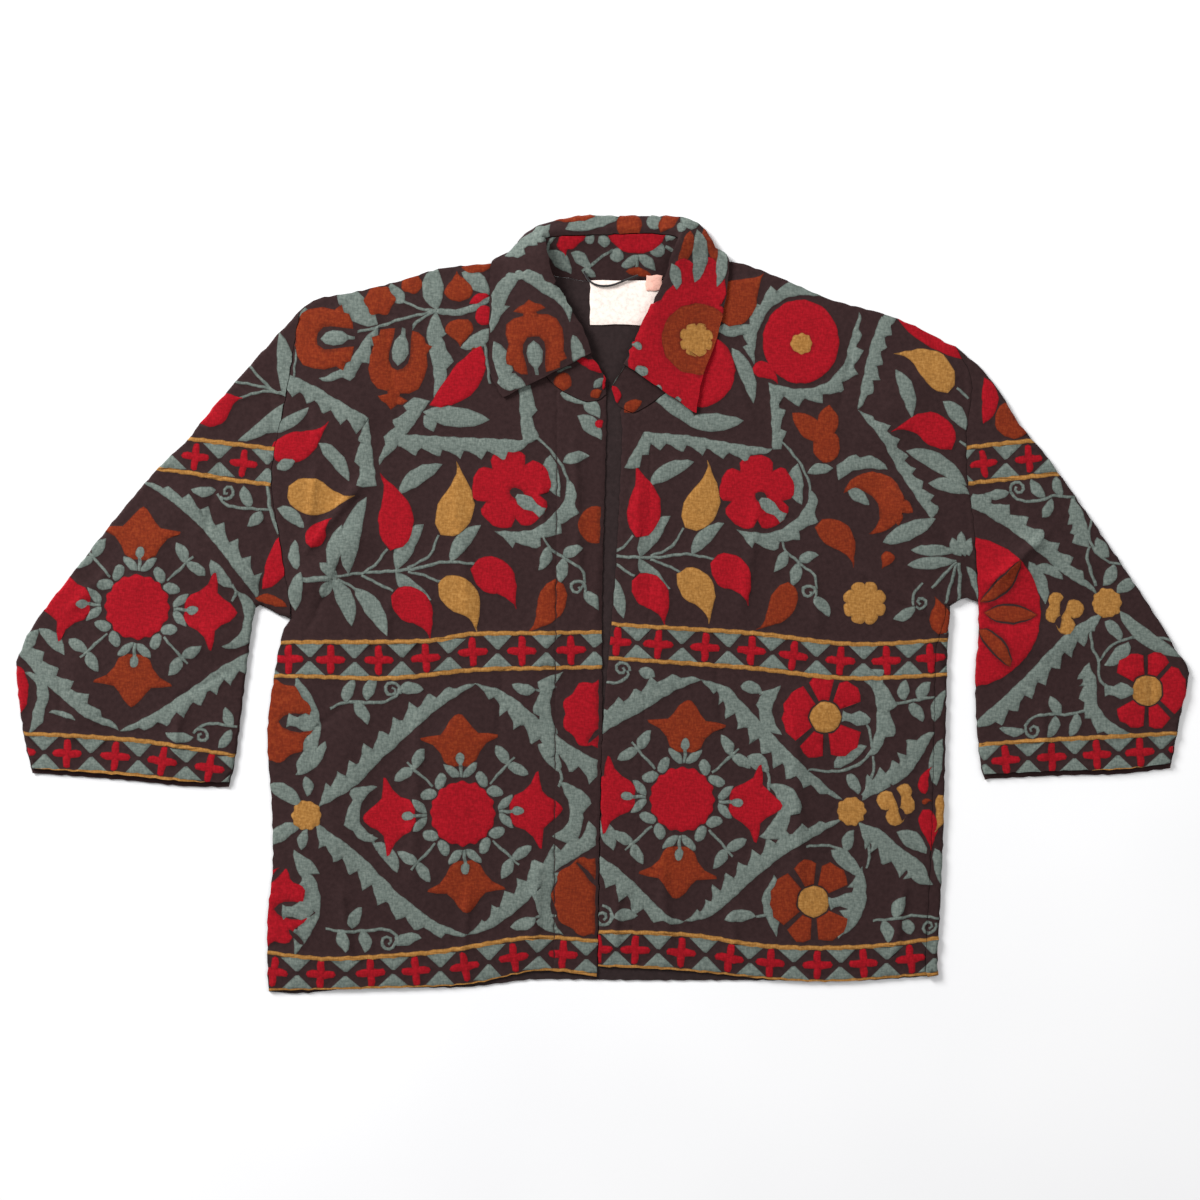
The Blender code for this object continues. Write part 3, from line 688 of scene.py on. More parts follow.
    def medallion(self, across, down, tilt=0.0, radius=33):
        """A red disc in a ring of leaves, with four tulips and four sprigs round it.

        The numbers are distances from its centre, lengths and widths of its parts.
        """
        centre = Vector((across, down))
        for quarter in range(4):
            angle = quarter * math.pi / 2 + tilt
            way = turned(angle)
            colour = RUST if quarter % 2 else RED
            self.put(colour, stamped(both_sides(TULIP), centre + way * 47, way * 53))
            for side in (-1, 1):
                start = centre + way * 36 + turned(angle + side * math.pi / 2) * 2
                tip = start + turned(angle + side * 0.8) * 20
                self.put(TEAL, leaf_shape(start, tip, 8.5, 0.0))
            self.put(TEAL, stem_shape([centre + way * reach for reach in (36, 44, 52)], 3.6))
            self.put(TEAL, disc_shape(centre + way * 55, 6.0, squash=0.75, turn=angle))
            slant = angle + math.pi / 4
            way = turned(slant)
            fork = centre + way * 66
            for side in (-1, 1):
                bead = centre + turned(slant + side * 0.23) * 39
                self.put(TEAL, disc_shape(bead, 8.6, squash=0.66, turn=slant + side * 1.1))
                tip = fork + turned(slant + side * 1.3) * 23
                self.put(TEAL, leaf_shape(fork, tip, 11, 0.04 * side))
            self.put(TEAL, stem_shape([centre + way * reach for reach in (40, 58, 76)], 3.0))
        self.put(RED, disc_shape(centre, radius, lobes=16, depth=0.06))

    def walnut(self, across, down, side):
        """A gold kernel with a dark slit. side is 1 or -1 and mirrors it."""
        lobes = ((-11.5, -4, 9.8), (6.5, -13, 8), (6.5, -6, 7.5), (9, 1, 8.8), (-2.5, 12, 9.6),
                 (0, 3, 9))
        for off, drop, radius in lobes:
            self.put(GOLD, disc_shape(Vector((across + side * off, down + drop)), radius))
        for start, tip, width in (((-7, -20), (1.5, 4), 6), ((2, 3), (4.5, 16), 5)):
            outline = leaf_shape(Vector(start), Vector(tip), width)
            self.put(GROUND, [Vector((across + side * p.x, down + p.y)) for p in outline])

    def spray(self):
        """A branch of leaves and drops, with a blossom at its upper end."""
        self.stems((
            (6.0, (303, 580), (320, 579), (334, 577)),
            (3.4, (334, 577), (362, 573), (395, 571), (419, 568), (445, 562), (475, 564)),
            (3.0, (362, 574), (376, 564), (388, 549)),
            (3.0, (408, 568), (429, 556), (439, 535)),
            (3.0, (362, 575), (375, 582), (394, 591)),
            (3.0, (408, 572), (423, 575), (441, 582)),
            (3.0, (338, 579), (350, 585), (358, 593)),
            (3.0, (543, 536), (549, 547), (564, 558), (580, 568), (585, 582), (578, 592)),
        ))
        self.leaves((
            (334, 573, 343, 525, 14),
            (349, 574, 367, 497, 19),
            (333, 579, 352, 626, 17),
            (354, 588, 387, 636, 17),
            (397, 570, 424, 524, 18),
            (396, 572, 432, 600, 15, -0.08),
            (451, 562, 481, 525, 15),
            (320, 563, 337, 581, 10),
            (322, 598, 335, 580, 10),
            (399, 494, 443, 465, 16),
            (549, 546, 539, 570, 11),
            (563, 557, 583, 548, 11),
            (564, 558, 560, 583, 12, 0.0),
            (583, 593, 602, 611, 12),
            (551, 455, 560, 497, 16, -0.1),
            (563, 463, 589, 456, 11),
        ))
        self.curl((577, 588), 9, 0.6, -1.2)
        self.drops((
            (RED, 391, 550, 380, 473, 35, -0.13),
            (GOLD, 441, 535, 457, 462, 36, -0.13),
            (RED, 391, 596, 431, 640, 34, 0.17),
            (GOLD, 438, 584, 477, 632, 34, 0.17),
            (RED, 471, 569, 516, 609, 36, 0.18),
            (RUST, 555, 579, 527, 633, 28, 0.14),
        ))
        self.flowers(((RED, 512, 490, 40, 5, 0.24, 2.7),))
        self.discs(((GROUND, 517, 494, 7.5, 0, 0.0, 0.7, 0.5),))
        self.stamps(BUD, ((TEAL, 516, 496, 544, 514, 0.62),))
        self.bands(((-12, 9, 20, 0.25, 0.2, (495, 531), (530, 530), (553, 515), (565, 497),
                     (569, 481)),))
        self.stems(((3.0, (532, 433), (545, 445), (558, 460), (567, 478), (567, 494)),))


def front_right_pattern():
    """Embroidery of the wearer's right front."""
    work = Pattern()
    work.bands((
        (14, 10, 21, 0.12, 0.3, (319, 807), (338, 797), (357, 785), (380, 761), (403, 740), (426, 719),
         (449, 701), (476, 684)),
        (-14, 10, 21, 0.12, 0.3, (316, 821), (358, 852), (396, 890), (417, 907), (438, 922), (468, 934)),
        (-14, 11, 21, 0.3, 0.0, (475, 683), (501, 690), (523, 705), (565, 741), (604, 764)),
        (14, 11, 21, 0.3, 0.0, (468, 935), (491, 928), (512, 914), (533, 895), (554, 872), (604, 840)),
        (-14, 9, 22, 0.2, 0.3, (296, 676), (312, 695), (321, 722), (317, 748), (298, 772)),
        (14, 9, 22, 0.2, 0.3, (296, 955), (312, 932), (321, 908), (316, 880), (296, 856)),
        (-10, 7, 27, 0.25, 0.25, (378, 786), (365, 798), (360, 815), (365, 829), (379, 838)),
        (13, 10, 27, 0.25, 0.25, (559, 781), (566, 796), (570, 812), (565, 826), (552, 836)),
        (-12, 7, 20, 0.3, 0.2, (563, 672), (553, 690), (551, 712), (558, 734)),
        (12, 7, 20, 0.3, 0.2, (563, 934), (553, 918), (551, 895), (560, 872)),
    ))
    work.leaves((
        (326, 741, 296, 775, 12), (320, 873, 294, 850, 12),
        (306, 776, 308, 796, 10), (302, 849, 308, 829, 10),
        (268, 785, 302, 806, 15), (268, 845, 302, 824, 15),
        (346, 702, 355, 680, 12), (367, 700, 377, 677, 12), (354, 702, 368, 724, 12),
        (398, 690, 424, 690, 12),
        (338, 930, 346, 952, 12), (352, 928, 362, 907, 12), (362, 930, 366, 952, 12),
        (394, 944, 422, 937, 12),
        (536, 690, 512, 684, 11), (536, 917, 510, 926, 12),
        (376, 842, 398, 872, 14), (538, 744, 560, 772, 14),
    ))
    work.stems((
        (3.4, (330, 708), (346, 702), (362, 702), (382, 702), (396, 696), (399, 688)),
        (3.4, (326, 928), (345, 931), (368, 930), (388, 929), (398, 938), (394, 946)),
        (3.2, (372, 834), (374, 842), (378, 850)),
        (3.2, (560, 770), (562, 778), (558, 786)),
        (3.2, (536, 690), (546, 690), (556, 686)),
        (3.2, (536, 917), (546, 914), (556, 916)),
    ))
    work.curl((392, 690), 9, 0.4, -1.3)
    work.curl((388, 941), 9, -0.6, 1.3)
    work.discs((
        (RUST, 271, 721, 43, 11, 0.1, 1.0, 0.2), (RED, 266, 906, 43, 9, 0.15, 1.0, 0.3),
        (RED, 597, 714, 36, 9, 0.12), (RUST, 592, 896, 41, 10, 0.08),
    ))
    work.leaves(((279, 721, 318, 724, 18, 0.0), (274, 908, 316, 912, 17, 0.0),
                 (268, 884, 288, 862, 5, 0.0), (290, 930, 304, 944, 5, 0.0),
                 (588, 742, 604, 726, 4, 0.0), (577, 862, 604, 892, 4, 0.0)), GROUND)
    work.stamps(BUD, ((TEAL, 318, 724, 287, 720, 0.8), (TEAL, 314, 909, 282, 912, 0.8)))
    work.medallion(463, 813, -0.045)
    work.discs(((GOLD, 307, 815, 15.5, 10, 0.1),))

    work.spray()
    work.drops((
        (GOLD, 289, 486, 355, 496, 36, -0.12),
        (RED, 270, 452, 329, 422, 30, -0.12),
        (RED, 312, 548, 332, 518, 19, 0.1),
    ))
    work.leaves((
        (319, 443, 349, 481, 14), (278, 508, 304, 528, 13), (298, 570, 296, 540, 11),
        (296, 610, 302, 572, 14), (278, 470, 296, 462, 11),
        (560, 393, 586, 404, 13), (583, 400, 599, 418, 14), (578, 416, 601, 440, 15),
    ))
    work.discs(((RUST, 597, 525, 19, 0, 0.0), (RED, 599.5, 424, 4.5, 0, 0.0)))
    work.stems(((3.2, (484, 338), (487, 360), (490, 384)),))
    work.bands((
        (-13, 9, 20, 0.0, 0.15, (399, 434), (450, 437), (500, 439), (530, 441)),
        (12, 6, 25, 0.0, 0.1, (519, 386), (520, 415), (523, 446)),
        (-14, 6, 20, 0.5, 0.0, (369, 418), (372, 445), (377, 486)),
        (-12, 9, 20, 0.0, 0.0, (286, 373), (315, 386), (341, 402), (369, 418)),
        (-14, 6, 22, 0.05, 0.4, (430, 402), (405, 437), (380, 465)),
        (11, 8, 22, 0.3, 0.35, (380, 325), (364, 340), (352, 358), (338, 371), (320, 379)),
        (15, 7, 28, 0.15, 0.35, (436, 311), (427, 330), (430, 352), (434, 375), (434, 400)),
    ))
    work.leaves((
        (424, 412, 490, 420, 20, -0.02), (424, 416, 434, 432, 12), (378, 325, 338, 280, 25),
        (437, 310, 436, 266, 21), (405, 303, 391, 284, 14), (462, 273, 489, 296, 17),
        (492, 329, 461, 348, 15), (306, 308, 299, 329, 11), (309, 408, 262, 432, 12),
    ))
    work.stems((
        (3.2, (350, 334), (377, 328), (400, 320), (437, 311)),
        (7.0, (437, 311), (455, 313), (472, 309), (492, 298)),
        (3.0, (437, 311), (420, 309), (403, 301)), (3.0, (437, 311), (418, 322), (406, 338)),
        (2.4, (297, 350), (294, 380)),
    ))
    work.drops((
        (RUST, 460, 302, 457, 272, 28, 0.0), (RUST, 459, 319, 461, 347, 28, 0.0),
        (RUST, 480, 350, 466, 356, 11),
    ))
    work.leaves(((470, 304, 489, 296, 8), (481, 346, 430, 406, 30, 0.12)), RED)
    work.leaves(((462, 268, 494, 265, 13, 0.0),), RUST)
    work.discs(((RED, 485, 316, 10), (RUST, 380, 301, 16, 6, 0.14), (RUST, 412, 284, 11, 5, 0.1)))
    work.fruits(((354, 338, 280, 340, 0.98), (404, 330, 391, 410, 0.83)))
    work.stems(((8.0, (293, 316), (291, 362)), (8.0, (606, 404), (606, 440), (602.5, 600),
                (602.5, 725), (600.5, 800), (597.5, 990))), GROUND)
    work.border(
        ((262, 643), (300, 642), (423, 641), (471, 634), (540, 633), (604, 632)),
        ((262, 676), (300, 676), (391, 678), (471, 670), (540, 668), (604, 667)),
        (289, 331, 379, 426, 473, 522, 571),
    )
    work.border(
        ((262, 951), (300, 956), (340, 958), (439, 951), (531, 937), (604, 941)),
        ((262, 989), (300, 990), (374, 988), (465, 985), (544, 970), (606, 976)),
        (274, 321, 371, 416, 465, 514, 563),
    )
    return work


def front_left_pattern():
    """Embroidery of the wearer's left front."""
    work = Pattern()
    work.bands((
        (17, 8, 21, 0.0, 0.35, (598, 736), (620, 723), (642, 711), (661, 699), (679, 689), (701, 680)),
        (-13, 11, 17, 0.2, 0.3, (701, 679), (727, 687), (745, 705), (778, 740), (805, 767), (842, 799)),
        (-14, 11, 20, 0.0, 0.4, (590, 849), (617, 867), (635, 883), (653, 901), (667, 914), (684, 921)),
        (14, 11, 17, 0.25, 0.3, (684, 921), (701, 919), (719, 910), (751, 881), (786, 853), (842, 820)),
        (14, 10, 27, 0.25, 0.25, (767, 783), (776, 796), (778, 808), (772, 821), (759, 836)),
        (-13, 4, 26, 0.3, 0.3, (781, 686), (775, 699), (772, 714), (781, 734)),
        (13, 9, 22, 0.2, 0.3, (852, 672), (872, 690), (876, 720), (872, 742), (866, 756)),
        (-13, 4, 26, 0.3, 0.3, (776, 936), (766, 918), (762, 897), (774, 874)),
        (-13, 9, 22, 0.25, 0.2, (862, 866), (866, 888), (864, 908), (854, 926), (838, 938)),
        (14, 10, 16, 0.15, 0.2, (862, 800), (885, 789), (908, 774), (921, 756), (934, 732)),
        (-16, 11, 16, 0.15, 0.15, (858, 822), (881, 830), (901, 848), (921, 862), (932, 884)),
    ))
    work.leaves((
        (834, 768, 866, 746, 15), (846, 774, 858, 794, 11), (846, 852, 853, 829, 11),
        (830, 850, 858, 876, 15), (598, 820, 613, 850, 14),
        (747, 756, 768, 772, 15), (740, 686, 762, 692, 12), (724, 919, 756, 916, 12),
        (904, 700, 905, 680, 12), (918, 700, 930, 682, 12), (908, 704, 922, 721, 12),
        (894, 918, 905, 896, 12), (882, 920, 888, 942, 12), (902, 920, 911, 934, 12),
        (638, 671, 655, 677, 11), (614, 917, 637, 915, 12),
        (896, 832, 926, 853, 16), (934, 722, 945, 690, 11), (936, 785, 942, 738, 13),
        (934, 848, 940, 884, 13),
    ))
    work.stems((
        (3.2, (768, 790), (769, 778), (766, 770)),
        (3.2, (886, 704), (904, 702), (920, 699), (934, 697)),
        (3.2, (872, 920), (895, 918), (915, 915), (938, 918)),
        (3.2, (808, 769), (836, 771), (858, 764), (871, 750), (868, 728), (862, 718)),
        (3.2, (806, 846), (826, 845), (846, 852), (860, 872), (862, 888), (852, 900)),
        (3.2, (606, 682), (620, 682), (628, 674), (627, 670)),
        (3.2, (602, 905), (609, 908), (613, 916), (608, 923)),
        (3.2, (759, 693), (768, 692)),
        (3.2, (756, 916), (768, 914)),
        (3.0, (873, 755), (872, 775), (862, 795)),
        (3.0, (866, 868), (869, 850), (860, 825)),
    ))
    work.curl((622, 669), 8, 0.2, -1.2)
    work.curl((603, 917), 9, -0.5, 1.3)
    work.curl((928, 926), 8, -0.5, 1.3)
    work.petals((
        (RED, 825, 717, 17, 44, (-117, -76), (-70, -22), (22, 84), (92, 134), (140, 236)),
        (RUST, 813, 901, 17, 44, (-122, -84), (-78, -25), (25, 84), (92, 134), (140, 230)),
    ))
    work.discs(((GOLD, 825, 717, 15.7), (GOLD, 813, 901, 15.7)))
    work.stamps(BUD, ((TEAL, 870, 720, 841, 716, 0.7), (TEAL, 860, 898, 828, 903, 0.7)))
    work.drops((
        (RED, 922, 809, 930, 850, 18, 0.08), (RED, 924, 794, 931, 766, 10),
        (GOLD, 938, 794, 934, 832, 13), (RUST, 922, 803, 932, 801, 5),
    ))
    work.walnut(897, 804, 1)
    work.medallion(682, 799, 0.06)
    work.discs(((GOLD, 851, 811, 15, 10, 0.1),))

    work.move((393, 521), (641, 510), 0.11, 0.95)
    work.spray()
    work.move((0, 0), (0, 0))
    work.bands((
        (-10, 8, 20, 0.0, 0.2, (644, 432), (690, 436), (730, 443), (772, 449)),
        (-9, 6, 22, 0.0, 0.3, (772, 450), (771, 420), (769, 388)),
        (10, 6, 20, 0.1, 0.2, (644, 432), (634, 450), (624, 468)),
        (11, 7, 17, 0.0, 0.3, (881, 317), (871, 342), (862, 380), (857, 410)),
        (10, 7, 17, 0.25, 0.05, (857, 411), (879, 438), (899, 473), (916, 499), (931, 520)),
        (11, 8, 18, 0.2, 0.3, (754, 364), (757, 335), (768, 312), (788, 298), (812, 296), (836, 300)),
        (-10, 9, 18, 0.05, 0.35, (768, 383), (799, 389), (825, 383), (843, 364), (850, 340),
         (859, 313)),
        (12, 4, 22, 0.15, 0.3, (838, 481), (849, 473), (864, 469), (887, 470)),
    ))
    work.leaves((
        (638, 380, 695, 428, 22), (684, 421, 743, 421, 18, -0.03), (731, 348, 753, 404, 14),
        (717, 332, 747, 334, 14, 0.1), (895, 370, 911, 418, 14), (943, 402, 965, 430, 15),
        (881, 319, 896, 320, 12, 0.0), (882, 543, 935, 519, 17, 0.0), (906, 451, 966, 486, 17),
        (928, 484, 970, 494, 14), (910, 550, 956, 551, 11, 0.0), (907, 565, 955, 561, 12, 0.0),
        (960, 556, 951, 538, 10), (964, 556, 961, 531, 10), (914, 607, 893, 619, 11),
        (968, 556, 970, 538, 9),
        (966, 566, 978, 600, 8), (809, 471, 832, 469, 9), (944, 634, 954, 612, 14),
    ))
    work.drops((
        (GOLD, 947, 394, 893, 354, 31, -0.2), (RED, 951, 450, 891, 432, 31, -0.25),
        (RED, 752, 368, 778, 384, 16), (RUST, 716, 320, 764, 274, 44, 0.0),
        (RUST, 890, 552, 882, 569, 13, 0.0), (RUST, 938, 634, 934, 596, 22, -0.1),
    ))
    work.leaves(((896, 316, 966, 360, 17, 0.0),), RED)
    work.leaves(((826, 442, 792, 413, 21, 0.0), (826, 438, 829, 405, 21, 0.0),
                 (893, 503, 911, 513, 13), (891, 506, 898, 526, 10), (890, 502, 902, 497, 8),
                 (624, 413, 642, 402, 11)), RUST)
    work.stems((
        (3.4, (955, 562), (944, 574), (931, 588)), (3.4, (956, 563), (951, 580), (945, 604)),
        (3.8, (958, 563), (959, 580), (958, 604)),
    ))
    work.stems(((3.0, (922, 583), (914, 592), (912, 606)), (3.0, (956, 388), (968, 399)),
                (3.0, (959, 441), (967, 447))))
    work.curl((920, 602), 7, 2.4, -1.1)
    work.flowers(((GOLD, 864, 603, 22, 8, 0.1),))
    work.discs((
        (RED, 698, 371, 37), (RED, 800.5, 342, 42, 0, 0.0, 0.91, 1.57), (GOLD, 801, 344, 11, 8, 0.1),
        (RUST, 826, 446, 17, 0, 0.0, 0.8, 1.57), (RUST, 872, 503, 31), (GROUND, 855, 514, 24),
    ))
    work.leaves(((847, 491, 868, 505, 12),))
    work.drops(((RUST, 815, 527, 853, 568, 27, 0.2),))
    work.border(
        ((594, 622), (640, 626), (751, 633), (853, 644), (955, 639)),
        ((594, 657), (640, 660), (751, 668), (847, 678), (955, 674)),
        (617, 658, 705, 751, 793, 840, 886, 930),
    )
    work.border(
        ((584, 931), (640, 932), (695, 935), (773, 946), (865, 946), (948, 936)),
        ((584, 966), (640, 967), (681, 970), (773, 979), (838, 981), (948, 972)),
        (598, 635, 681, 729, 770, 817, 863, 910),
    )
    return work


def sleeve_right_pattern():
    """Embroidery of the wearer's right sleeve."""
    work = Pattern()
    work.bands((
        (-12, 9, 22, 0.12, 0.35, (258, 599), (239, 574), (216, 544), (195, 521), (170, 500), (143, 482)),
        (12, 9, 20, 0.0, 0.3, (252, 650), (220, 668), (189, 690), (157, 711), (121, 730)),
        (13, 9, 20, 0.0, 0.35, (18, 652), (42, 679), (65, 700), (90, 719), (120, 730)),
        (12, 3, 40, 0.3, 0.3, (236, 590), (243, 606), (244, 622), (239, 635), (223, 647)),
        (11, 1, 40, 0.3, 0.2, (25, 672), (36, 683), (38, 697), (34, 712), (30, 733)),
    ))
    work.leaves((
        (216, 490, 192, 490, 10), (252, 507, 244, 486, 11), (262, 511, 248, 526, 11),
        (194, 737, 166, 733, 10), (234, 726, 226, 707, 10), (231, 729, 219, 748, 10),
        (212, 560, 234, 588, 13, -0.08), (40, 629, 65, 655, 13), (50, 712, 77, 720, 5),
        (24, 652, 40, 630, 13), (286, 398, 280, 333, 17, -0.05), (288, 402, 239, 441, 14, 0.08),
        (309, 408, 262, 432, 12), (306, 308, 299, 329, 11),
    ))
    work.stems((
        (3.2, (218, 494), (227, 505), (242, 508), (270, 510)), (4.0, (268, 486), (271, 510), (279, 534)),
        (3.2, (194, 733), (206, 724), (221, 724), (238, 727)), (3.0, (233, 584), (237, 592), (232, 602)),
        (3.0, (287, 396), (270, 388), (250, 366)), (3.0, (286, 396), (266, 388), (236, 382)),
        (3.0, (284, 393), (262, 392), (236, 400)),
    ))
    work.curl((228, 492), 8, 2.6, -1.2)
    work.curl((202, 736), 8, -2.6, 1.2)
    work.drops(((RED, 200, 424, 244, 398, 34, 0.12), (RED, 270, 452, 329, 422, 30, -0.12)))
    work.discs(((RED, 17, 690, 25, 0, 0.0, 0.5, 1.57),))
    work.leaves(((284, 533, 263, 589, 24, 0.1),), RED)
    work.leaves(((256, 598, 287, 607, 10),), RUST)
    work.medallion(138, 607, 0.06)
    work.border(
        ((176, 437), (190, 439), (232, 444), (282, 450)),
        ((150, 468), (190, 473), (232, 480), (282, 486)),
        (148, 196, 244, 292), size=14.5,
    )
    work.border(
        ((10, 733), (64, 735), (110, 738), (153, 742), (240, 756)),
        ((10, 769), (64, 771), (110, 773), (153, 777), (240, 788)),
        (22, 68, 116, 163, 210),
    )
    return work


def sleeve_left_pattern():
    """Embroidery of the wearer's left sleeve."""
    work = Pattern()
    work.bands((
        (13, 9, 19, 0.0, 0.3, (966, 505), (992, 519), (1016, 535), (1041, 556), (1065, 576),
         (1096, 594)),
        (13, 9, 19, 0.15, 0.1, (1102, 612), (1078, 624), (1053, 645), (1032, 668), (1010, 690),
         (972, 724)),
        (-14, 5, 14, 0.3, 0.1, (1072, 496), (1080, 508), (1086, 524), (1088, 547)),
        (-13, 6, 13, 0.1, 0.3, (1088, 662), (1096, 682), (1096, 700), (1106, 718), (1132, 735)),
    ))
    work.leaves((
        (1008, 492, 984, 494, 10), (1044, 497, 1030, 480, 11), (1061, 496, 1055, 476, 10),
        (1050, 499, 1041, 518, 10), (1027, 562, 1045, 604, 13), (1034, 566, 1062, 579, 10),
        (1108, 557, 1096, 538, 13), (1113, 564, 1102, 586, 12), (1116, 593, 1139, 580, 12),
        (1118, 610, 1183, 657, 15, -0.08), (1128, 642, 1104, 665, 14), (1104, 621, 1120, 641, 12),
        (1024, 731, 999, 728, 9), (1061, 714, 1050, 696, 11), (1055, 716, 1047, 737, 11),
        (1076, 713, 1069, 736, 11),
    ))
    work.stems((
        (3.2, (1009, 491), (1018, 500), (1037, 501), (1053, 496), (1074, 498)),
        (3.6, (1088, 546), (1086, 558), (1090, 572), (1095, 586)),
        (3.0, (1094, 514), (1088, 531), (1092, 548), (1106, 561), (1124, 565)),
        (3.0, (1098, 614), (1090, 630), (1092, 648), (1098, 662), (1098, 678), (1108, 689)),
        (3.0, (1098, 662), (1108, 648), (1125, 639), (1151, 637), (1172, 642), (1188, 662)),
        (3.2, (1024, 727), (1031, 718), (1047, 714), (1069, 714), (1088, 709)),
    ))
    work.curl((1017, 489), 8, 2.8, 1.2)
    work.curl((1032, 730), 8, -2.6, -1.2)
    work.discs(((RED, 965, 612, 75, 0, 0.0),))
    for colour, wider in ((GROUND, 4), (RUST, 0)):
        work.leaves(((980, 602, 1019, 560, 12 + wider, -0.08), (984, 613, 1036, 615, 16 + wider, 0.0),
                     (978, 629, 1010, 667, 13 + wider, 0.06)), colour)
    work.petals(((RED, 1146, 690.5, 16.5, 41, (-152, -94), (-90, -50), (-46, 42), (48, 88),
                  (94, 152)),))
    work.discs(((GOLD, 1146, 690.5, 15.3), (GOLD, 1106, 603, 15.3, 10, 0.08), (RUST, 1013, 420, 19)))
    work.stamps(BUD, ((TEAL, 1132, 691, 1103, 690, 0.8),))
    work.leaves(((984, 378, 982, 424, 16, 0.14),), RED)
    work.walnut(1062, 613, -1)
    work.border(
        ((956, 449), (1000, 444), (1054, 439)),
        ((956, 485), (1000, 480), (1076, 472)),
        (983, 1028, 1070), size=14.5,
    )
    work.border(
        ((970, 745), (1040, 740), (1120, 736), (1190, 732)),
        ((970, 780), (1040, 775), (1120, 770), (1190, 765)),
        (963, 1005, 1051, 1096, 1139, 1182),
    )
    return work


def back_pattern():
    """Embroidery of the back, which lies face down: the same motifs in even rows."""
    work = Pattern()
    for across in (405, 603, 801):
        work.move((463, 813), (across, 813))
        for side in (-1, 1):
            work.bands((
                (14 * side, 10, 21, 0.1, 0.3, (463 - 97 * side, 806), (463 - 62 * side, 768),
                 (463 - 30 * side, 722), (463, 690)),
                (-14 * side, 10, 21, 0.1, 0.3, (463 - 97 * side, 820), (463 - 62 * side, 858),
                 (463 - 30 * side, 904), (463, 936)),
            ))
        work.medallion(463, 813)
        work.discs(((GOLD, 364, 813, 15, 10, 0.1), (GOLD, 562, 813, 15, 10, 0.1)))
        work.move((440, 545), (across, 545), size=0.72)
        work.spray()
        work.move((404, 370), (across, 350))
        work.fruits(((404, 330, 391, 410, 0.83), (470, 400, 480, 320, 0.83)))
        work.leaves(((424, 410, 450, 330, 16), (380, 410, 360, 340, 16)))
    work.move((0, 0), (0, 0))
    work.border(((262, 643), (603, 643), (955, 643)), ((262, 676), (603, 676), (955, 676)),
                range(280, 960, 47))
    work.border(((262, 946), (603, 946), (955, 946)), ((262, 979), (603, 979), (955, 979)),
                range(280, 960, 47))
    return work


# Cloth

def in_millimetres(pattern):
    """A pattern's colours and outlines, as points on the surface."""
    return [(colour, [flat(point.x, point.y) for point in outline])
            for colour, outline in pattern.shapes]


def turning_left(points):
    """The closed outline, in the order that goes round to the left."""
    area = 0.0
    for start, end in zip(points, [*points[1:], points[0]]):
        area += start.x * end.y - end.x * start.y
    return points if area > 0 else list(reversed(points))


# A row of mesh points goes round each shape, at this distance
RING = 1.1
# Free points keep this clear of all lines, and one cell of this size holds one of them
CLEAR = 0.8
POINT_CELL = 0.7
# Points along a crease or a row of stitching keep this clear of other lines
LINE_CLEAR = 0.5


def patterned_sheet(outline, shapes, spacing, rims=(), lines_in=()):
    """Triangles of a flat sheet with the shapes cut into it, and each one's colour."""
    outline = turning_left(outline)
    points = list(outline)
    faces = [list(range(len(outline)))]
    colours = [GROUND]
    left = min(point.x for point in outline)
    right = max(point.x for point in outline)
    low = min(point.y for point in outline)
    high = max(point.y for point in outline)
    lines = [[*outline, outline[0]]]
    rings = []
    for colour, shape in shapes:
        if max(p.x for p in shape) < left or min(p.x for p in shape) > right:
            continue
        if max(p.y for p in shape) < low or min(p.y for p in shape) > high:
            continue
        shape = turning_left(shape)
        faces.append(list(range(len(points), len(points) + len(shape))))
        points.extend(shape)
        colours.append(colour)
        closed = [*shape, shape[0]]
        lines.append(closed)
        for start, end in zip(closed, closed[1:]):
            run = end - start
            if run.length < 0.2:
                continue
            parts = (0.25, 0.75) if run.length > 3.0 else (0.5,)
            rings.extend(start + run * part + left_of(run) * RING for part in parts)
    near = Near(*lines)
    taken = set()

    def offer(place, clear):
        cell = (round(place.x / POINT_CELL), round(place.y / POINT_CELL))
        if cell not in taken and near.distance(place) > clear:
            taken.add(cell)
            points.append(place)

    for place in rings:
        offer(place, CLEAR)
    for inset in rims:
        for place in moved_left(lines[0], inset):
            offer(place, inset * 0.6)
    for line, step in lines_in:
        for part in (-2, -1, 0, 1, 2):
            for place in moved_left(line, part * step):
                inside = left < place.x < right and low < place.y < high
                if inside and near.distance(place) > LINE_CLEAR:
                    points.append(place)
    row_height = spacing * math.sqrt(0.75)
    for row in range(int((high - low) / row_height) + 1):
        for column in range(int((right - left) / spacing) + 1):
            across = left + (column + 0.5 * (row % 2)) * spacing
            offer(Vector((across, low + row * row_height)), spacing * 0.3)
    places, _, triangles, _, _, sources = delaunay_2d_cdt(points, [], faces, 1, 1e-4)
    sheet = []
    for triangle, shapes_over in zip(triangles, sources):
        if 0 in shapes_over:
            sheet.append((tuple(triangle), colours[max(shapes_over)]))
    return places, sheet


def corner_colours(sheet):
    """The colours that meet at each corner of a sheet, in the order of the corners."""
    colours_at = {}
    for triangle, colour in sheet:
        for corner in triangle:
            colours_at.setdefault(corner, set()).add(colour)
    return dict(sorted(colours_at.items()))


def thread_over(colours):
    """How high the thread stands where these colours meet, and how light the painted shade at its edge
    leaves it.
    """
    if GROUND in colours:
        return 0.0, 0.0
    if len(colours) == 1:
        return THREAD_RISE, 1.0
    return THREAD_MEETING, MEETING_EDGE_SHADE


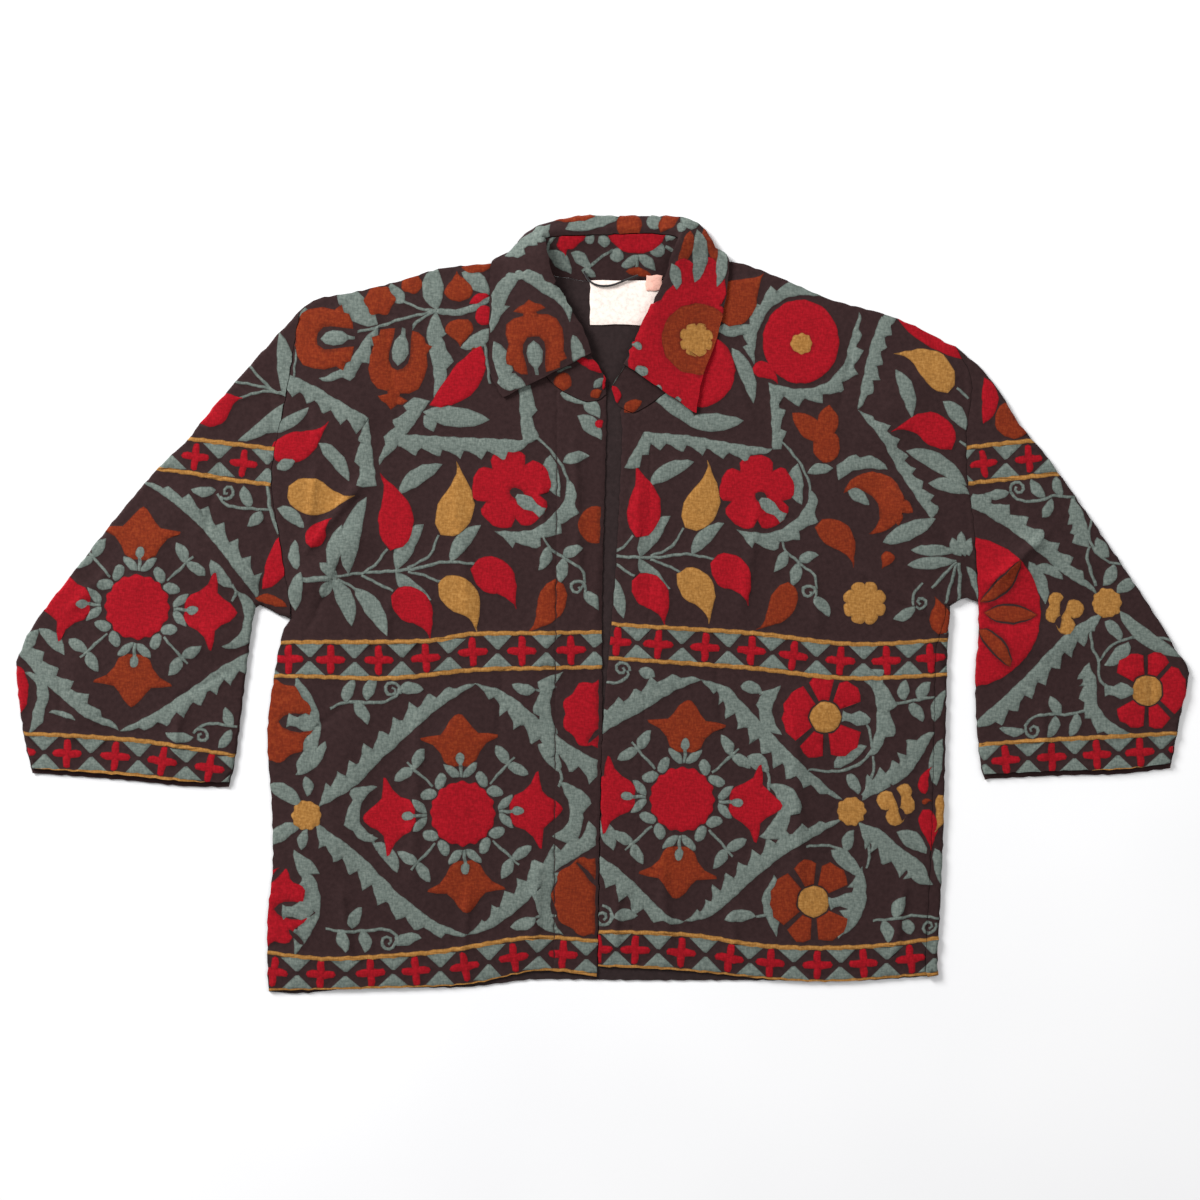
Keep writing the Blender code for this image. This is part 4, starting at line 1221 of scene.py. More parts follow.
def edge_loop(sheet):
    """The corners round the edge of a sheet, in order."""
    directed = set()
    for triangle, _ in sheet:
        for index in range(3):
            directed.add((triangle[index - 1], triangle[index]))
    following = {}
    for start, end in directed:
        if (end, start) not in directed:
            following[start] = end
    first = min(following)
    loop = [first]
    while following[loop[-1]] != first:
        loop.append(following[loop[-1]])
    return loop


def coarse_sheet(loop, spacing):
    """Triangles over a closed line, without new corners on the line itself."""
    points = list(loop)
    near = Near([*loop, loop[0]])
    left = min(point.x for point in loop)
    low = min(point.y for point in loop)
    columns = int((max(point.x for point in loop) - left) / spacing) + 1
    rows = int((max(point.y for point in loop) - low) / spacing) + 1
    for row in range(rows):
        for column in range(columns):
            place = Vector((left + (column + 0.5 * (row % 2)) * spacing, low + row * spacing))
            if near.distance(place) > 0.4 * spacing:
                points.append(place)
    outline = list(range(len(loop)))
    _, _, triangles, sources, _, _ = delaunay_2d_cdt(points, [], [outline], 1, 1e-6)
    where = [same[0] for same in sources]
    return points, [tuple(where[corner] for corner in triangle) for triangle in triangles]


def linked(name, data):
    """A new object, linked to the scene."""
    item = bpy.data.objects.new(name, data)
    bpy.context.collection.objects.link(item)
    return item


class ClothMesh:
    """Collects the shells of one piece of cloth and makes its mesh."""

    def __init__(self, name):
        self.name = name
        self.points = []
        # The painted edge shade of each point, which darkens the thread near the edges of its shape
        self.rims = []
        self.faces = []
        self.slots = []

    def add_point(self, place, height, painted_edge_shade):
        self.points.append(with_height(place, height))
        self.rims.append(painted_edge_shade)

    def add_face(self, face, slot, facing=1):
        self.faces.append(face if facing == 1 else face[::-1])
        self.slots.append(slot)

    def add_shell(self, outline, shapes, top, low, spacing=EDGE_SPACING, rims=(0.9, 2.0),
                  over=None, under=INSIDE, facing=1, lines_in=()):
        """A closed shell between two heights. The shapes are on its facing side."""
        flat_points, sheet = patterned_sheet(outline, shapes, spacing, rims, lines_in)
        index_of = {}
        patterned, plain = (top, low) if facing == 1 else (low, top)
        for corner, colours in corner_colours(sheet).items():
            # How high the thread stands here, and how much painted shade darkens its edge
            rise, painted_edge_shade = thread_over(colours)
            index_of[corner] = len(self.points)
            place = flat_points[corner]
            self.add_point(place, patterned(place) + rise * facing, painted_edge_shade)
        for triangle, colour in sheet:
            face = tuple(index_of[corner] for corner in triangle)
            self.add_face(face, colour if over is None else over, facing)
        loop = edge_loop(sheet)
        base_points, base = coarse_sheet([flat_points[corner] for corner in loop], PLAIN_SPACING)
        first = len(self.points)
        for place in base_points:
            self.add_point(place, plain(place), 0.0)
        for triangle in base:
            self.add_face(tuple(first + corner for corner in triangle), under, -facing)
        for index, corner in enumerate(loop):
            after = (index + 1) % len(loop)
            face = (index_of[loop[after]], index_of[corner], first + index, first + after)
            self.add_face(face, GROUND, facing)

    def make(self, materials):
        mesh = bpy.data.meshes.new(self.name)
        mesh.from_pydata([tuple(uneven(point) * MM) for point in self.points], [], self.faces)
        mesh.update()
        for material in materials:
            mesh.materials.append(material)
        mesh.polygons.foreach_set("material_index", self.slots)
        # The painted edge shade, kept on the points for the thread's material
        painted_edge_shade = mesh.attributes.new("painted_edge_shade", "FLOAT", "POINT")
        painted_edge_shade.data.foreach_set("value", self.rims)
        mesh.shade_smooth()
        mesh.set_sharp_from_angle(angle=math.radians(60))
        return linked(self.name, mesh)


# Materials

def new_material(name):
    material = bpy.data.materials.new(name)
    material.use_nodes = True
    return material, material.node_tree


def node(tree, kind, **inputs):
    """A new node with the values of some of its inputs."""
    item = tree.nodes.new(kind)
    for key, value in inputs.items():
        item.inputs[key.replace("_", " ")].default_value = value
    return item


def object_place(tree):
    return tree.nodes.new("ShaderNodeTexCoord").outputs["Object"]


def noise(tree, place, scale, detail=2.0, rough=0.5):
    item = node(tree, "ShaderNodeTexNoise", Scale=scale, Detail=detail, Roughness=rough)
    tree.links.new(place, item.inputs["Vector"])
    return item.outputs["Fac"]


def stretched(tree, place, scales, turn):
    item = node(tree, "ShaderNodeMapping")
    item.inputs["Scale"].default_value = scales
    item.inputs["Rotation"].default_value = (0.0, 0.0, turn)
    tree.links.new(place, item.inputs["Vector"])
    return item.outputs["Vector"]


def ramp(tree, factor, *stops):
    """A colour that runs through the stops, given as position and colour."""
    item = tree.nodes.new("ShaderNodeValToRGB")
    for element, (position, colour) in zip(item.color_ramp.elements, (stops[0], stops[-1])):
        element.position = position
        element.color = (*colour, 1.0)
    for position, colour in stops[1:-1]:
        item.color_ramp.elements.new(position).color = (*colour, 1.0)
    tree.links.new(factor, item.inputs["Fac"])
    return item.outputs["Color"]


def feed(tree, item, values):
    """Sets inputs of a node by number, each to a value or to another node's output."""
    for key, value in values.items():
        if isinstance(value, float):
            item.inputs[key].default_value = value
        else:
            tree.links.new(value, item.inputs[key])


def darkened(tree, factor, colour, shade):
    item = tree.nodes.new("ShaderNodeMix")
    item.data_type = "RGBA"
    item.blend_type = "MULTIPLY"
    feed(tree, item, {0: factor, 6: colour, 7: shade})
    return item.outputs[2]


def counted(tree, kind, one, other):
    item = tree.nodes.new("ShaderNodeMath")
    item.operation = kind
    feed(tree, item, {0: one, 1: other})
    return item.outputs[0]


def mixed(tree, one, share, other, other_share):
    """The sum of two values, each times its share."""
    return counted(tree, "ADD", counted(tree, "MULTIPLY", one, share),
                   counted(tree, "MULTIPLY", other, other_share))


def grey(value):
    return (value, value, value)


def finished(tree, colour, height, distance, roughness, sheen):
    """Gives the shader its colour, its gloss and its bump, which is distance metres deep."""
    shader = tree.nodes["Principled BSDF"]
    tree.links.new(colour, shader.inputs["Base Color"])
    shader.inputs["Roughness"].default_value = roughness
    shader.inputs["Sheen Weight"].default_value = sheen
    shader.inputs["Sheen Roughness"].default_value = 0.6
    shader.inputs["Specular IOR Level"].default_value = 0.1
    bump = node(tree, "ShaderNodeBump", Strength=0.35, Distance=distance)
    tree.links.new(height, bump.inputs["Height"])
    tree.links.new(bump.outputs["Normal"], shader.inputs["Normal"])


def scaled(colour, factor):
    return tuple(min(part * factor, 1.0) for part in colour)


def thread_material(name, colour, light, spread):
    """Rows of fine chain stitch in one colour, mottled by the single threads, with painted shade along
    the edges of each shape.
    """
    material, tree = new_material(name)
    place = object_place(tree)
    strands = noise(tree, stretched(tree, place, (230.0, 620.0, 400.0), 0.5), 1.0, 2.0, 0.55)
    other = noise(tree, stretched(tree, place, (680.0, 250.0, 400.0), 0.2), 1.0, 2.0, 0.55)
    patches = noise(tree, place, 70.0)
    value = mixed(tree, strands, 0.5, other, 0.5)
    tone = ramp(tree, value, (0.38, scaled(colour, 1 - spread)), (0.5, colour), (0.62, light))
    tone = darkened(tree, 0.35, tone, ramp(tree, patches, (0.3, grey(0.75)), (0.7, grey(1.0))))
    # Painted shade: the thread darkens towards the edges of its shape, as if its rounded edge turned
    # away from the light
    painted_edge_shade = tree.nodes.new("ShaderNodeAttribute")
    painted_edge_shade.attribute_name = "painted_edge_shade"
    shade = ramp(tree, painted_edge_shade.outputs["Fac"], (0.0, grey(0.55)), (0.9, grey(1.0)))
    tone = darkened(tree, 1.0, tone, shade)
    finished(tree, tone, value, 0.0006, 0.86, 0.06)
    return material


def weave_material(name, colour, light, thread=0.0007, sheen=0.1, roughness=0.85):
    """A plain weave with a faint mottle. thread is the distance of its threads in metres."""
    material, tree = new_material(name)
    place = object_place(tree)
    waves = []
    for axis in ("X", "Y"):
        wave = node(tree, "ShaderNodeTexWave", Scale=0.314 / thread, Distortion=0.6, Detail=1.0)
        wave.bands_direction = axis
        tree.links.new(place, wave.inputs["Vector"])
        waves.append(wave.outputs["Fac"])
    weave = counted(tree, "MULTIPLY", waves[0], waves[1])
    mottle = noise(tree, place, 260.0, 4.0, 0.65)
    value = mixed(tree, mottle, 0.8, weave, 0.2)
    tone = ramp(tree, value, (0.25, scaled(colour, 0.72)), (0.45, colour), (0.75, light))
    finished(tree, tone, value, 0.0003, roughness, sheen)
    return material


ground = weave_material("ground_cloth", (0.029, 0.0135, 0.0135), (0.040, 0.020, 0.020), sheen=0.02)
teal = thread_material("teal_thread", (0.132, 0.162, 0.144), (0.178, 0.208, 0.184), 0.26)
red = thread_material("red_thread", (0.300, 0.0005, 0.007), (0.36, 0.003, 0.011), 0.22)
rust = thread_material("rust_thread", (0.180, 0.019, 0.003), (0.225, 0.032, 0.006), 0.22)
gold = thread_material("gold_thread", (0.335, 0.152, 0.033), (0.41, 0.205, 0.055), 0.22)
lining_cloth = weave_material("lining_cloth", (0.024, 0.0145, 0.0145), (0.034, 0.021, 0.021),
                              0.0004, 0.02, 0.8)
CLOTHS = [ground, teal, red, rust, gold, lining_cloth]


# Panels

def neck_line(first, last, side):
    """The neck's edge between two rows of the stand, moved off the seam."""
    row = smooth_row([Vector((across, down)) for across, down, *_ in STAND], COLLAR_STEPS)
    seam = moved_left([flat(place.x, place.y) for place in row], side * 2 * SEAM_GAP)
    return seam[first * COLLAR_STEPS:last * COLLAR_STEPS + 1]


def armhole_edge(table, side):
    """An armhole's edge, on the body's side of the seam or, with -1, on the sleeve's."""
    return moved_left(edge_curve(table), side * SEAM_GAP / 2)


def make_front(name, outline, resting_edges, pattern, facing):
    """A front, which lies low at the edges given and rises over the back's folds."""
    stitched = edge_curve(facing, STITCH_SPACING)
    stitches = Near(stitched)
    resting = [Near(edge) for edge in resting_edges]
    border = Near([*outline, outline[0]])

    def low(point):
        ease = min(smooth(edge.distance(point) / EDGE_EASE) for edge in resting)
        level = FRONT_EDGE_LOW + (FRONT_LOW - FRONT_EDGE_LOW) * ease
        return level + ease * fold_height(point, FOLDS_BODY)

    def top(point):
        from_edge = border.distance(point)
        rounding = EDGE_ROUND * (1 - smooth(from_edge / EDGE_ROUND_WIDTH))
        dent = STITCH_DEPTH * math.exp(-(stitches.distance(point) / STITCH_HALF) ** 2)
        crease = fold_height(point, CREASES) * smooth(from_edge / CREASE_EASE)
        return low(point) + CLOTH - GROUND_DROP - rounding - dent + crease

    cloth = ClothMesh(name)
    cloth.add_shell(outline, in_millimetres(pattern), top, low,
                    lines_in=[(stitched, STITCH_HALF), *crease_lines()])
    return cloth.make(CLOTHS)


def make_front_right():
    shoulder = edge_curve(SHOULDER_RIGHT)
    side = edge_curve(SIDE_RIGHT)
    hem = edge_curve(FRONT_HEM_RIGHT)
    neck = [*neck_line(0, NECK_POINT_RIGHT, 1), shoulder[0]]
    outline = joined(shoulder, armhole_edge(ARMHOLE_RIGHT, 1), side, hem,
                     edge_curve(FRONT_EDGE_RIGHT), neck)
    pattern = front_right_pattern()
    pattern.stems(((STITCH_LINE, *FACING_RIGHT),), GROUND)
    return make_front("right_front", outline, (shoulder, side, hem), pattern, FACING_RIGHT)


def flap_inset(place, start):
    """How far the back's rolled side covers the front at a place, from the armhole down."""
    return SIDE_FLAP_START + SIDE_FLAP * smooth((start.y - place.y) / SIDE_FLAP_TAPER)


def make_front_left():
    side = edge_curve(SIDE_LEFT)
    seam = [place - inward * (flap_inset(place, side[0]) + SEAM_GAP)
            for place, inward in zip(side, normals(side))]
    shoulder = edge_curve(SHOULDER_LEFT)
    hem = edge_curve(FRONT_HEM_LEFT)
    hem[-1] = Vector((seam[-1].x, hem[-1].y))
    neck = neck_line(NECK_POINT_LEFT, len(STAND) - 2, 1)
    outline = [*edge_curve(FRONT_EDGE_LEFT)[:-1], *hem, *seam[-2::-1],
               *edge_curve(UNDERARM_LEFT)[-2:0:-1], *armhole_edge(ARMHOLE_LEFT, 1)[:-1],
               *shoulder, *neck[1:]]
    return make_front("left_front", outline, (shoulder, hem), front_left_pattern(), FACING_LEFT)


def rounded(distance, inset):
    """Share of the full height at a distance from a folded edge."""
    part = min(distance / inset, 1.0)
    return math.sqrt(max(1 - (1 - part) ** 2, 0.0))


def add_under_layer(cloth, outline, pattern, fold, under=INSIDE):
    """The layer on the table, which curves up to the mid-plane at its folded edges."""

    def low(point):
        part = 1 - rounded(fold.distance(point), FOLD_INSET)
        return RESTING + (FOLD_MIDDLE - FOLD_OUTSIDE - RESTING) * part

    def top(point):
        part = 1 - rounded(fold.distance(point), FOLD_INSET_INSIDE)
        return CLOTH - GROUND_DROP + (FOLD_MIDDLE - FOLD_INSIDE - CLOTH + GROUND_DROP) * part

    cloth.add_shell(outline, in_millimetres(pattern), top, low, HIDDEN_SPACING, HIDDEN_RIMS,
                    under=under, facing=-1)


def upper_inside(point, fold):
    """Height of the inner face of the layer on top, which curves down to the mid-plane."""
    reach = FOLD_MIDDLE - CLOTH
    return FOLD_MIDDLE + FOLD_INSIDE + reach * rounded(fold.distance(point), FOLD_INSET_INSIDE)


def make_back():
    """The back lies flat, and its left side rolls over the edge and lies on top."""
    side_left = edge_curve(SIDE_LEFT)[::-1]
    neck = neck_line(NECK_POINT_RIGHT + 2, NECK_POINT_LEFT - 2, -1)
    outline = [
        *joined(edge_curve(SHOULDER_RIGHT), armhole_edge(ARMHOLE_RIGHT, 1),
                edge_curve(SIDE_RIGHT), edge_curve(BACK_HEM)),
        *side_left, *edge_curve(UNDERARM_LEFT)[-2:0:-1], *armhole_edge(ARMHOLE_LEFT, 1)[:-1],
        *edge_curve(SHOULDER_LEFT), *reversed(neck),
    ]
    fold = Near(side_left)
    cloth = ClothMesh("back_cloth")
    add_under_layer(cloth, outline, back_pattern(), fold)
    flap_edge = [place + inward * flap_inset(place, side_left[-1])
                 for place, inward in zip(side_left, normals(side_left))]

    def flap_top(point):
        reach = FOLD_MIDDLE - FOLD_OUTSIDE
        height = FOLD_MIDDLE + FOLD_OUTSIDE + reach * rounded(fold.distance(point), FOLD_INSET)
        return height - FLAP_DROP

    cloth.add_shell([*side_left, *reversed(flap_edge)], in_millimetres(front_left_pattern()),
                    flap_top, lambda point: upper_inside(point, fold))
    return cloth.make(CLOTHS)


def make_sleeve(name, armhole, edge_down, cuff, edge_up, pattern):
    """A tube pressed flat, as two shells that meet along its folded edges."""
    edge_down = edge_curve(edge_down)
    cuff = edge_curve(cuff)
    edge_up = edge_curve(edge_up)
    outline = joined(armhole_edge(armhole, -1)[::-1], edge_down, cuff, edge_up)
    cuff_near = Near(cuff)
    across_cuff = (cuff[-1] - cuff[0]).normalized()
    cuff_way = Vector((across_cuff.y, -across_cuff.x))

    def peep(point):
        """How the upper layer draws back here, so that the cuff's inside shows."""
        return cuff_way * CUFF_PEEP * smooth(1 - cuff_near.distance(point) / CUFF_PEEP_LENGTH)

    upper_outline = [point - peep(point) for point in outline]
    upper_fold = Near([point - peep(point) for point in edge_down],
                      [point - peep(point) for point in edge_up])

    def extra(point):
        return smooth(upper_fold.distance(point) / EDGE_EASE) * (
            fold_height(point, FOLDS_SLEEVE) + fold_height(point, CREASES))

    def top(point):
        reach = (FOLD_MIDDLE - FOLD_OUTSIDE - GROUND_DROP) * rounded(
            upper_fold.distance(point), FOLD_INSET)
        return FOLD_MIDDLE + FOLD_OUTSIDE + reach + extra(point)

    cloth = ClothMesh(name)
    cloth.add_shell(upper_outline, in_millimetres(pattern), top,
                    lambda point: upper_inside(point, upper_fold) + extra(point),
                    lines_in=crease_lines())
    add_under_layer(cloth, outline, pattern, Near(edge_down, edge_up), under=GROUND)
    return cloth.make(CLOTHS)


def make_lining():
    neck = neck_line(LINING_NECK_START, LINING_NECK_END, -1)
    cloth = ClothMesh("neck_lining")
    cloth.add_shell([*edge_curve(LINING_EDGE), *reversed(neck)], [],
                    lambda point: LINING_LOW + LINING_CLOTH, lambda point: LINING_LOW,
                    LINING_SPACING, LINING_RIMS, over=INSIDE)
    return cloth.make(CLOTHS)


# The collar

class Ribbon:
    """A strip of cloth through rows of points, with its measures when it is unrolled."""

    def __init__(self, rows):
        self.rows = rows
        self.last_row = len(rows) - 1
        self.last_column = len(rows[0]) - 1
        pace = sum((b[0] - a[0]).length + (b[-1] - a[-1]).length for a, b in zip(rows, rows[1:]))
        self.pace = pace / (2 * self.last_row)
        self.levels = [0.0]
        for column in range(self.last_column):
            reach = sum((row[column + 1] - row[column]).length for row in rows) / len(rows)
            self.levels.append(self.levels[-1] + reach)

    def level(self, up):
        """Distance from the first edge of the unrolled ribbon."""
        column = min(max(int(up), 0), self.last_column - 1)
        span = self.levels[column + 1] - self.levels[column]
        return self.levels[column] + span * (up - column)

    def column_at(self, level):
        column = 0
        while column < self.last_column - 1 and self.levels[column + 1] < level:
            column += 1
        span = self.levels[column + 1] - self.levels[column]
        return column + (level - self.levels[column]) / span

    def outline(self):
        """The edge of the unrolled ribbon."""
        alongs = [index * self.pace for index in range(self.last_row + 1)]
        return joined(
            [Vector((along, 0.0)) for along in alongs],
            [Vector((alongs[-1], level)) for level in self.levels],
            [Vector((along, self.levels[-1])) for along in reversed(alongs)],
            [Vector((0.0, level)) for level in reversed(self.levels)],
        )

    def point(self, along, up):
        along = min(max(along, 0.0), self.last_row)
        up = min(max(up, 0.0), self.last_column)
        row = min(int(along), self.last_row - 1)
        column = min(int(up), self.last_column - 1)
        one = self.rows[row][column].lerp(self.rows[row][column + 1], up - column)
        other = self.rows[row + 1][column].lerp(self.rows[row + 1][column + 1], up - column)
        return one.lerp(other, along - row)

    def side(self, along, up):
        """Unit vector out of the ribbon's face."""
        ahead = self.point(along + 0.5, up) - self.point(along - 0.5, up)
        rise = self.point(along, up + 0.5) - self.point(along, up - 0.5)
        return ahead.cross(rise).normalized()


def leaf_row(seam, roll, fold, edge, under):
    """Points down the leaf from the roll line, over its fold and to its edge.

    under is 1 where the edge is tucked under the leaf and 0 where it lies outside.
    """
    rise = (roll - seam).normalized()
    outward = with_height(fold - roll, 0.0).normalized()
    bend = math.pi * (0.5 - 0.5 * rise.dot(outward))
    over = outward + Vector((0.0, 0.0, 1.0))
    over = (over - rise * over.dot(rise)).normalized()
    row = [roll + rise * ROLL_GAP]
    for index in range(ROLL_PARTS):
        angle = bend * (index + 0.5) / ROLL_PARTS
        way = rise * math.cos(angle) + over * math.sin(angle)
        row.append(row[-1] + way * ROLL_ARC / ROLL_PARTS)
    crest = row[-1]
    for part in (0.25, 0.5, 0.75, 1.0):
        row.append(crest.lerp(fold, part))
    floor = COLLAR_CLOTH / 2
    side = with_height(fold + outward * 1.5, (fold.z + floor) / 2)
    bottom = with_height(fold.lerp(edge, 0.05), floor)
    middle = with_height(fold.lerp(edge, 0.5), floor)
    for part, rolled in zip((0.25, 0.5, 0.75), (side, bottom, middle)):
        row.append(fold.lerp(edge, part).lerp(rolled, under))
    row.append(edge)
    return row


# The first point beyond the fold in a leaf's row
FOLD_COLUMN = 9
# Points of a shape on the collar that are nearer than this are taken as one
COLLAR_NEAREST = 0.15


def apart(points):
    """The points without those that lie on the one before or on the first."""
    row = [points[0]]
    for point in points[1:]:
        if min((point - row[-1]).length, (point - row[0]).length) > COLLAR_NEAREST:
            row.append(point)
    return row


def unrolled_shapes(ribbon, visible, pattern):
    """The pattern on the unrolled ribbon. visible says which of its spots show from above."""
    spots = []
    for along in range(ribbon.last_row * 2 + 1):
        for up in range(ribbon.last_column * 4 + 1):
            if visible(along / 2, up / 4):
                spots.append((along / 2, up / 4))
    tree = tree_of([ribbon.point(*spot) for spot in spots])

    def unrolled(point):
        """A place seen from above, as a place on the unrolled ribbon."""
        along, up = spots[tree.find((point.x, point.y, 0.0))[1]]
        here = ribbon.point(along, up)
        back = -0.5 if along >= ribbon.last_row else 0.5
        down = -0.5 if up >= FOLD_COLUMN or up >= ribbon.last_column else 0.5
        ahead = (ribbon.point(along + back, up) - here) / back
        rise = (ribbon.point(along, up + down) - here) / down
        area = ahead.x * rise.y - ahead.y * rise.x
        off = point - here.to_2d()
        if abs(area) > 0.3:
            along += max(min((off.x * rise.y - off.y * rise.x) / area, 2.0), -2.0)
            up += max(min((ahead.x * off.y - ahead.y * off.x) / area, 2.0), -2.0)
        return Vector((along * ribbon.pace, ribbon.level(up)))

    return [(colour, apart([unrolled(point) for point in points]))
            for colour, points in in_millimetres(pattern)]


def collar_piece(name, rows, visible, pattern):
    """A ribbon of cloth with the pattern on both of its faces."""
    ribbon = Ribbon(rows)
    shapes = unrolled_shapes(ribbon, visible, pattern)
    places, sheet = patterned_sheet(ribbon.outline(), shapes, COLLAR_SPACING)
    cloth = ClothMesh(name)
    colours_at = corner_colours(sheet)
    index_of = {corner: index for index, corner in enumerate(colours_at)}
    for facing in (1, -1):
        for corner, colours in colours_at.items():
            # How high the thread stands here, and how much painted shade darkens its edge
            rise, painted_edge_shade = thread_over(colours)
            along = places[corner].x / ribbon.pace
            up = ribbon.column_at(places[corner].y)
            out = ribbon.side(along, up) * facing * (COLLAR_CLOTH / 2 - GROUND_DROP + rise)
            place = ribbon.point(along, up) + out
            cloth.add_point(place, max(place.z, 0.0), painted_edge_shade)
    count = len(colours_at)
    for triangle, colour in sheet:
        face = tuple(index_of[corner] for corner in triangle)
        cloth.add_face(face, colour)
        cloth.add_face(tuple(corner + count for corner in face), colour, -1)
    ring = [index_of[corner] for corner in edge_loop(sheet)]
    for start, end in zip(ring, [*ring[1:], ring[0]]):
        cloth.add_face((end, start, start + count, end + count), GROUND)
    return cloth.make(CLOTHS)


def collar_line(table, first):
    """A smooth line through the places that start at a column of a collar's table."""
    return smooth_row([raised(*row[first:first + 3]) for row in table], COLLAR_STEPS)


def make_collar_stand():
    seams = collar_line(STAND, 0)
    rolls = collar_line(STAND, 3)
    rows = [[seam.lerp(roll, part) for part in (0.0, 0.33, 0.67, 1.0)]
            for seam, roll in zip(seams, rolls)]
    return collar_piece("stand_cloth", rows, lambda along, up: True, stand_pattern())


def make_collar_leaf():
    stations = STAND[LEAF_START:LEAF_START + len(LEAF)]
    unders = smooth_row([Vector((row[6], 0.0)) for row in LEAF], COLLAR_STEPS)
    unders = [min(max(under.x, 0.0), 1.0) for under in unders]
    lines = (collar_line(stations, 0), collar_line(stations, 3), collar_line(LEAF, 0),
             collar_line(LEAF, 3), unders)
    rows = [leaf_row(*row) for row in zip(*lines)]

    def visible(along, up):
        return up <= FOLD_COLUMN or unders[int(along)] < 0.25

    return collar_piece("leaf_cloth", rows, visible, leaf_pattern())


def stand_pattern():
    """Embroidery of the collar's stand, inside and out."""
    work = Pattern()
    work.stems((
        (3.0, (556, 237), (549, 244), (548, 256)), (3.0, (588, 268), (600, 259), (613, 250)),
        (3.0, (637, 256), (637, 274)), (3.4, (665, 247), (678, 256)),
        (2.4, (557, 372), (571, 367)), (3.0, (628, 364), (618, 374), (611, 387)),
    ))
    work.leaves((
        (547, 252, 571, 274, 14), (571, 253, 590, 270, 11), (581, 271, 596, 277, 8),
        (637, 256, 621, 267, 10), (637, 256, 655, 271, 10), (594, 388, 604, 380, 8),
    ))
    work.drops(((RED, 560, 244, 589, 237, 16, 0.0), (RED, 563, 238, 565, 257, 13, 0.0)))
    work.leaves(((577, 361, 605, 374, 10), (605, 372, 603, 390, 5), (613, 386, 618, 403, 7)), RED)
    work.leaves(((626, 272, 652, 277, 8), (624, 413, 642, 402, 11), (591, 398, 602, 391, 8)), RUST)
    work.discs((
        (RUST, 563, 382, 9), (TEAL, 604, 242, 6), (TEAL, 617, 256, 7), (TEAL, 657, 250, 8),
        (TEAL, 670, 236, 6), (TEAL, 590, 240, 5), (RED, 637, 232, 29, 0, 0.0, 0.77),
    ))
    return work


def leaf_pattern():
    """Embroidery of the collar's leaf."""
    work = Pattern()
    work.bands((
        (-13, 4, 28, 0.08, 0.45, (522, 277), (509, 296), (501, 318), (491, 334)),
        (11, 4, 26, 0.08, 0.4, (517, 277), (540, 292), (561, 307), (570, 323)),
        (-9, 6, 20, 0.15, 0.2, (505, 257), (525, 238), (550, 225)),
    ))
    work.leaves((
        (494, 342, 505, 390, 17), (497, 384, 526, 386, 16), (566, 231, 621, 219, 19),
        (573, 336, 576, 368, 11), (577, 352, 585, 358, 8),
    ))
    work.discs(((TEAL, 520, 276, 5), (TEAL, 541, 236, 9), (RUST, 629, 226, 13), (TEAL, 654, 223, 8),
                (TEAL, 690, 221, 10), (TEAL, 681, 229, 5)))
    work.leaves(((548, 219, 595, 218, 9, 0.0), (660, 233, 681, 214, 14),
                 (690, 232, 677, 268, 12), (703, 230, 717, 264, 16)), RUST)
    work.fruits(((537, 374, 529, 300, 0.96),))
    work.discs(((RED, 683, 270, 10), (RED, 708, 268, 10), (RED, 700, 290, 26), (RED, 683, 306, 22),
                (RED, 692, 342, 46), (RED, 672, 340, 40), (RED, 690, 384, 32), (RED, 655, 364, 27),
                (RUST, 697, 340, 35.5)))
    work.flowers(((GOLD, 696, 340.5, 17, 8, 0.14),))
    work.discs(((TEAL, 638, 347, 4), (TEAL, 641, 372, 7, 0, 0.0, 0.8), (TEAL, 658, 390, 4),
                (TEAL, 678, 402, 5)))
    work.leaves(((697, 231, 694, 284, 15), (720, 247, 717, 287, 11), (671, 266, 676, 291, 11)))
    return work


def make_tape(name, corners, low, thickness, material):
    """A small piece of tape, flat on the lining, with its upper edges rounded."""
    left, top, right, bottom = corners
    places = [flat(left, top), flat(left, bottom), flat(right, bottom), flat(right, top)]
    outline = []
    for start, end in zip(places, [*places[1:], places[0]]):
        outline.extend(start.lerp(end, step / 6) for step in range(6))
    border = Near([*outline, outline[0]])

    def top_height(point):
        rounding = TAPE_ROUND * (1 - smooth(border.distance(point) / TAPE_ROUND_WIDTH))
        return low + thickness - rounding

    cloth = ClothMesh(name)
    cloth.add_shell(outline, [], top_height, lambda point: low, TAPE_SPACING, TAPE_RIMS,
                    over=0, under=0)
    return cloth.make([material])


# Left, top, right, bottom
LABEL = (590, 281, 664, 325)
TAB = (646, 276, 662, 291)
LABEL_LOW = 3.1
TAB_LOW = 4.4
LABEL_CLOTH = 1.0
TAPE_ROUND = 0.3
TAPE_ROUND_WIDTH = 1.2
LOOP_DIAMETER = 1.8
# Columns: across, down, height
LOOP = ((584, 272, 5.6), (589, 281, 5.4), (598, 286, 5.5), (611, 286, 5.5), (625, 281, 5.5),
        (638, 276, 5.6))


def make_loop():
    route = smooth_row([raised(*row) for row in LOOP], 6)
    line = bpy.data.curves.new("neck_loop", "CURVE")
    line.dimensions = "3D"
    line.bevel_depth = LOOP_DIAMETER / 2 * MM
    line.bevel_resolution = 3
    line.use_fill_caps = True
    spline = line.splines.new("POLY")
    spline.points.add(len(route) - 1)
    for point, place in zip(spline.points, route):
        point.co = (*(place * MM), 1.0)
    line.materials.append(loop_cord)
    return linked("neck_loop", line)


label_tape = weave_material("label_tape", (0.92, 0.79, 0.72), (0.96, 0.85, 0.79), 0.0004, 0.1)
tab_tape = weave_material("tab_tape", (0.85, 0.46, 0.37), (0.92, 0.56, 0.46), 0.0004, 0.1)
loop_cord = weave_material("loop_cord", (0.018, 0.016, 0.017), (0.035, 0.03, 0.03), 0.0005, 0.2)


# Floor, light and camera

bpy.context.scene.view_settings.view_transform = "Standard"


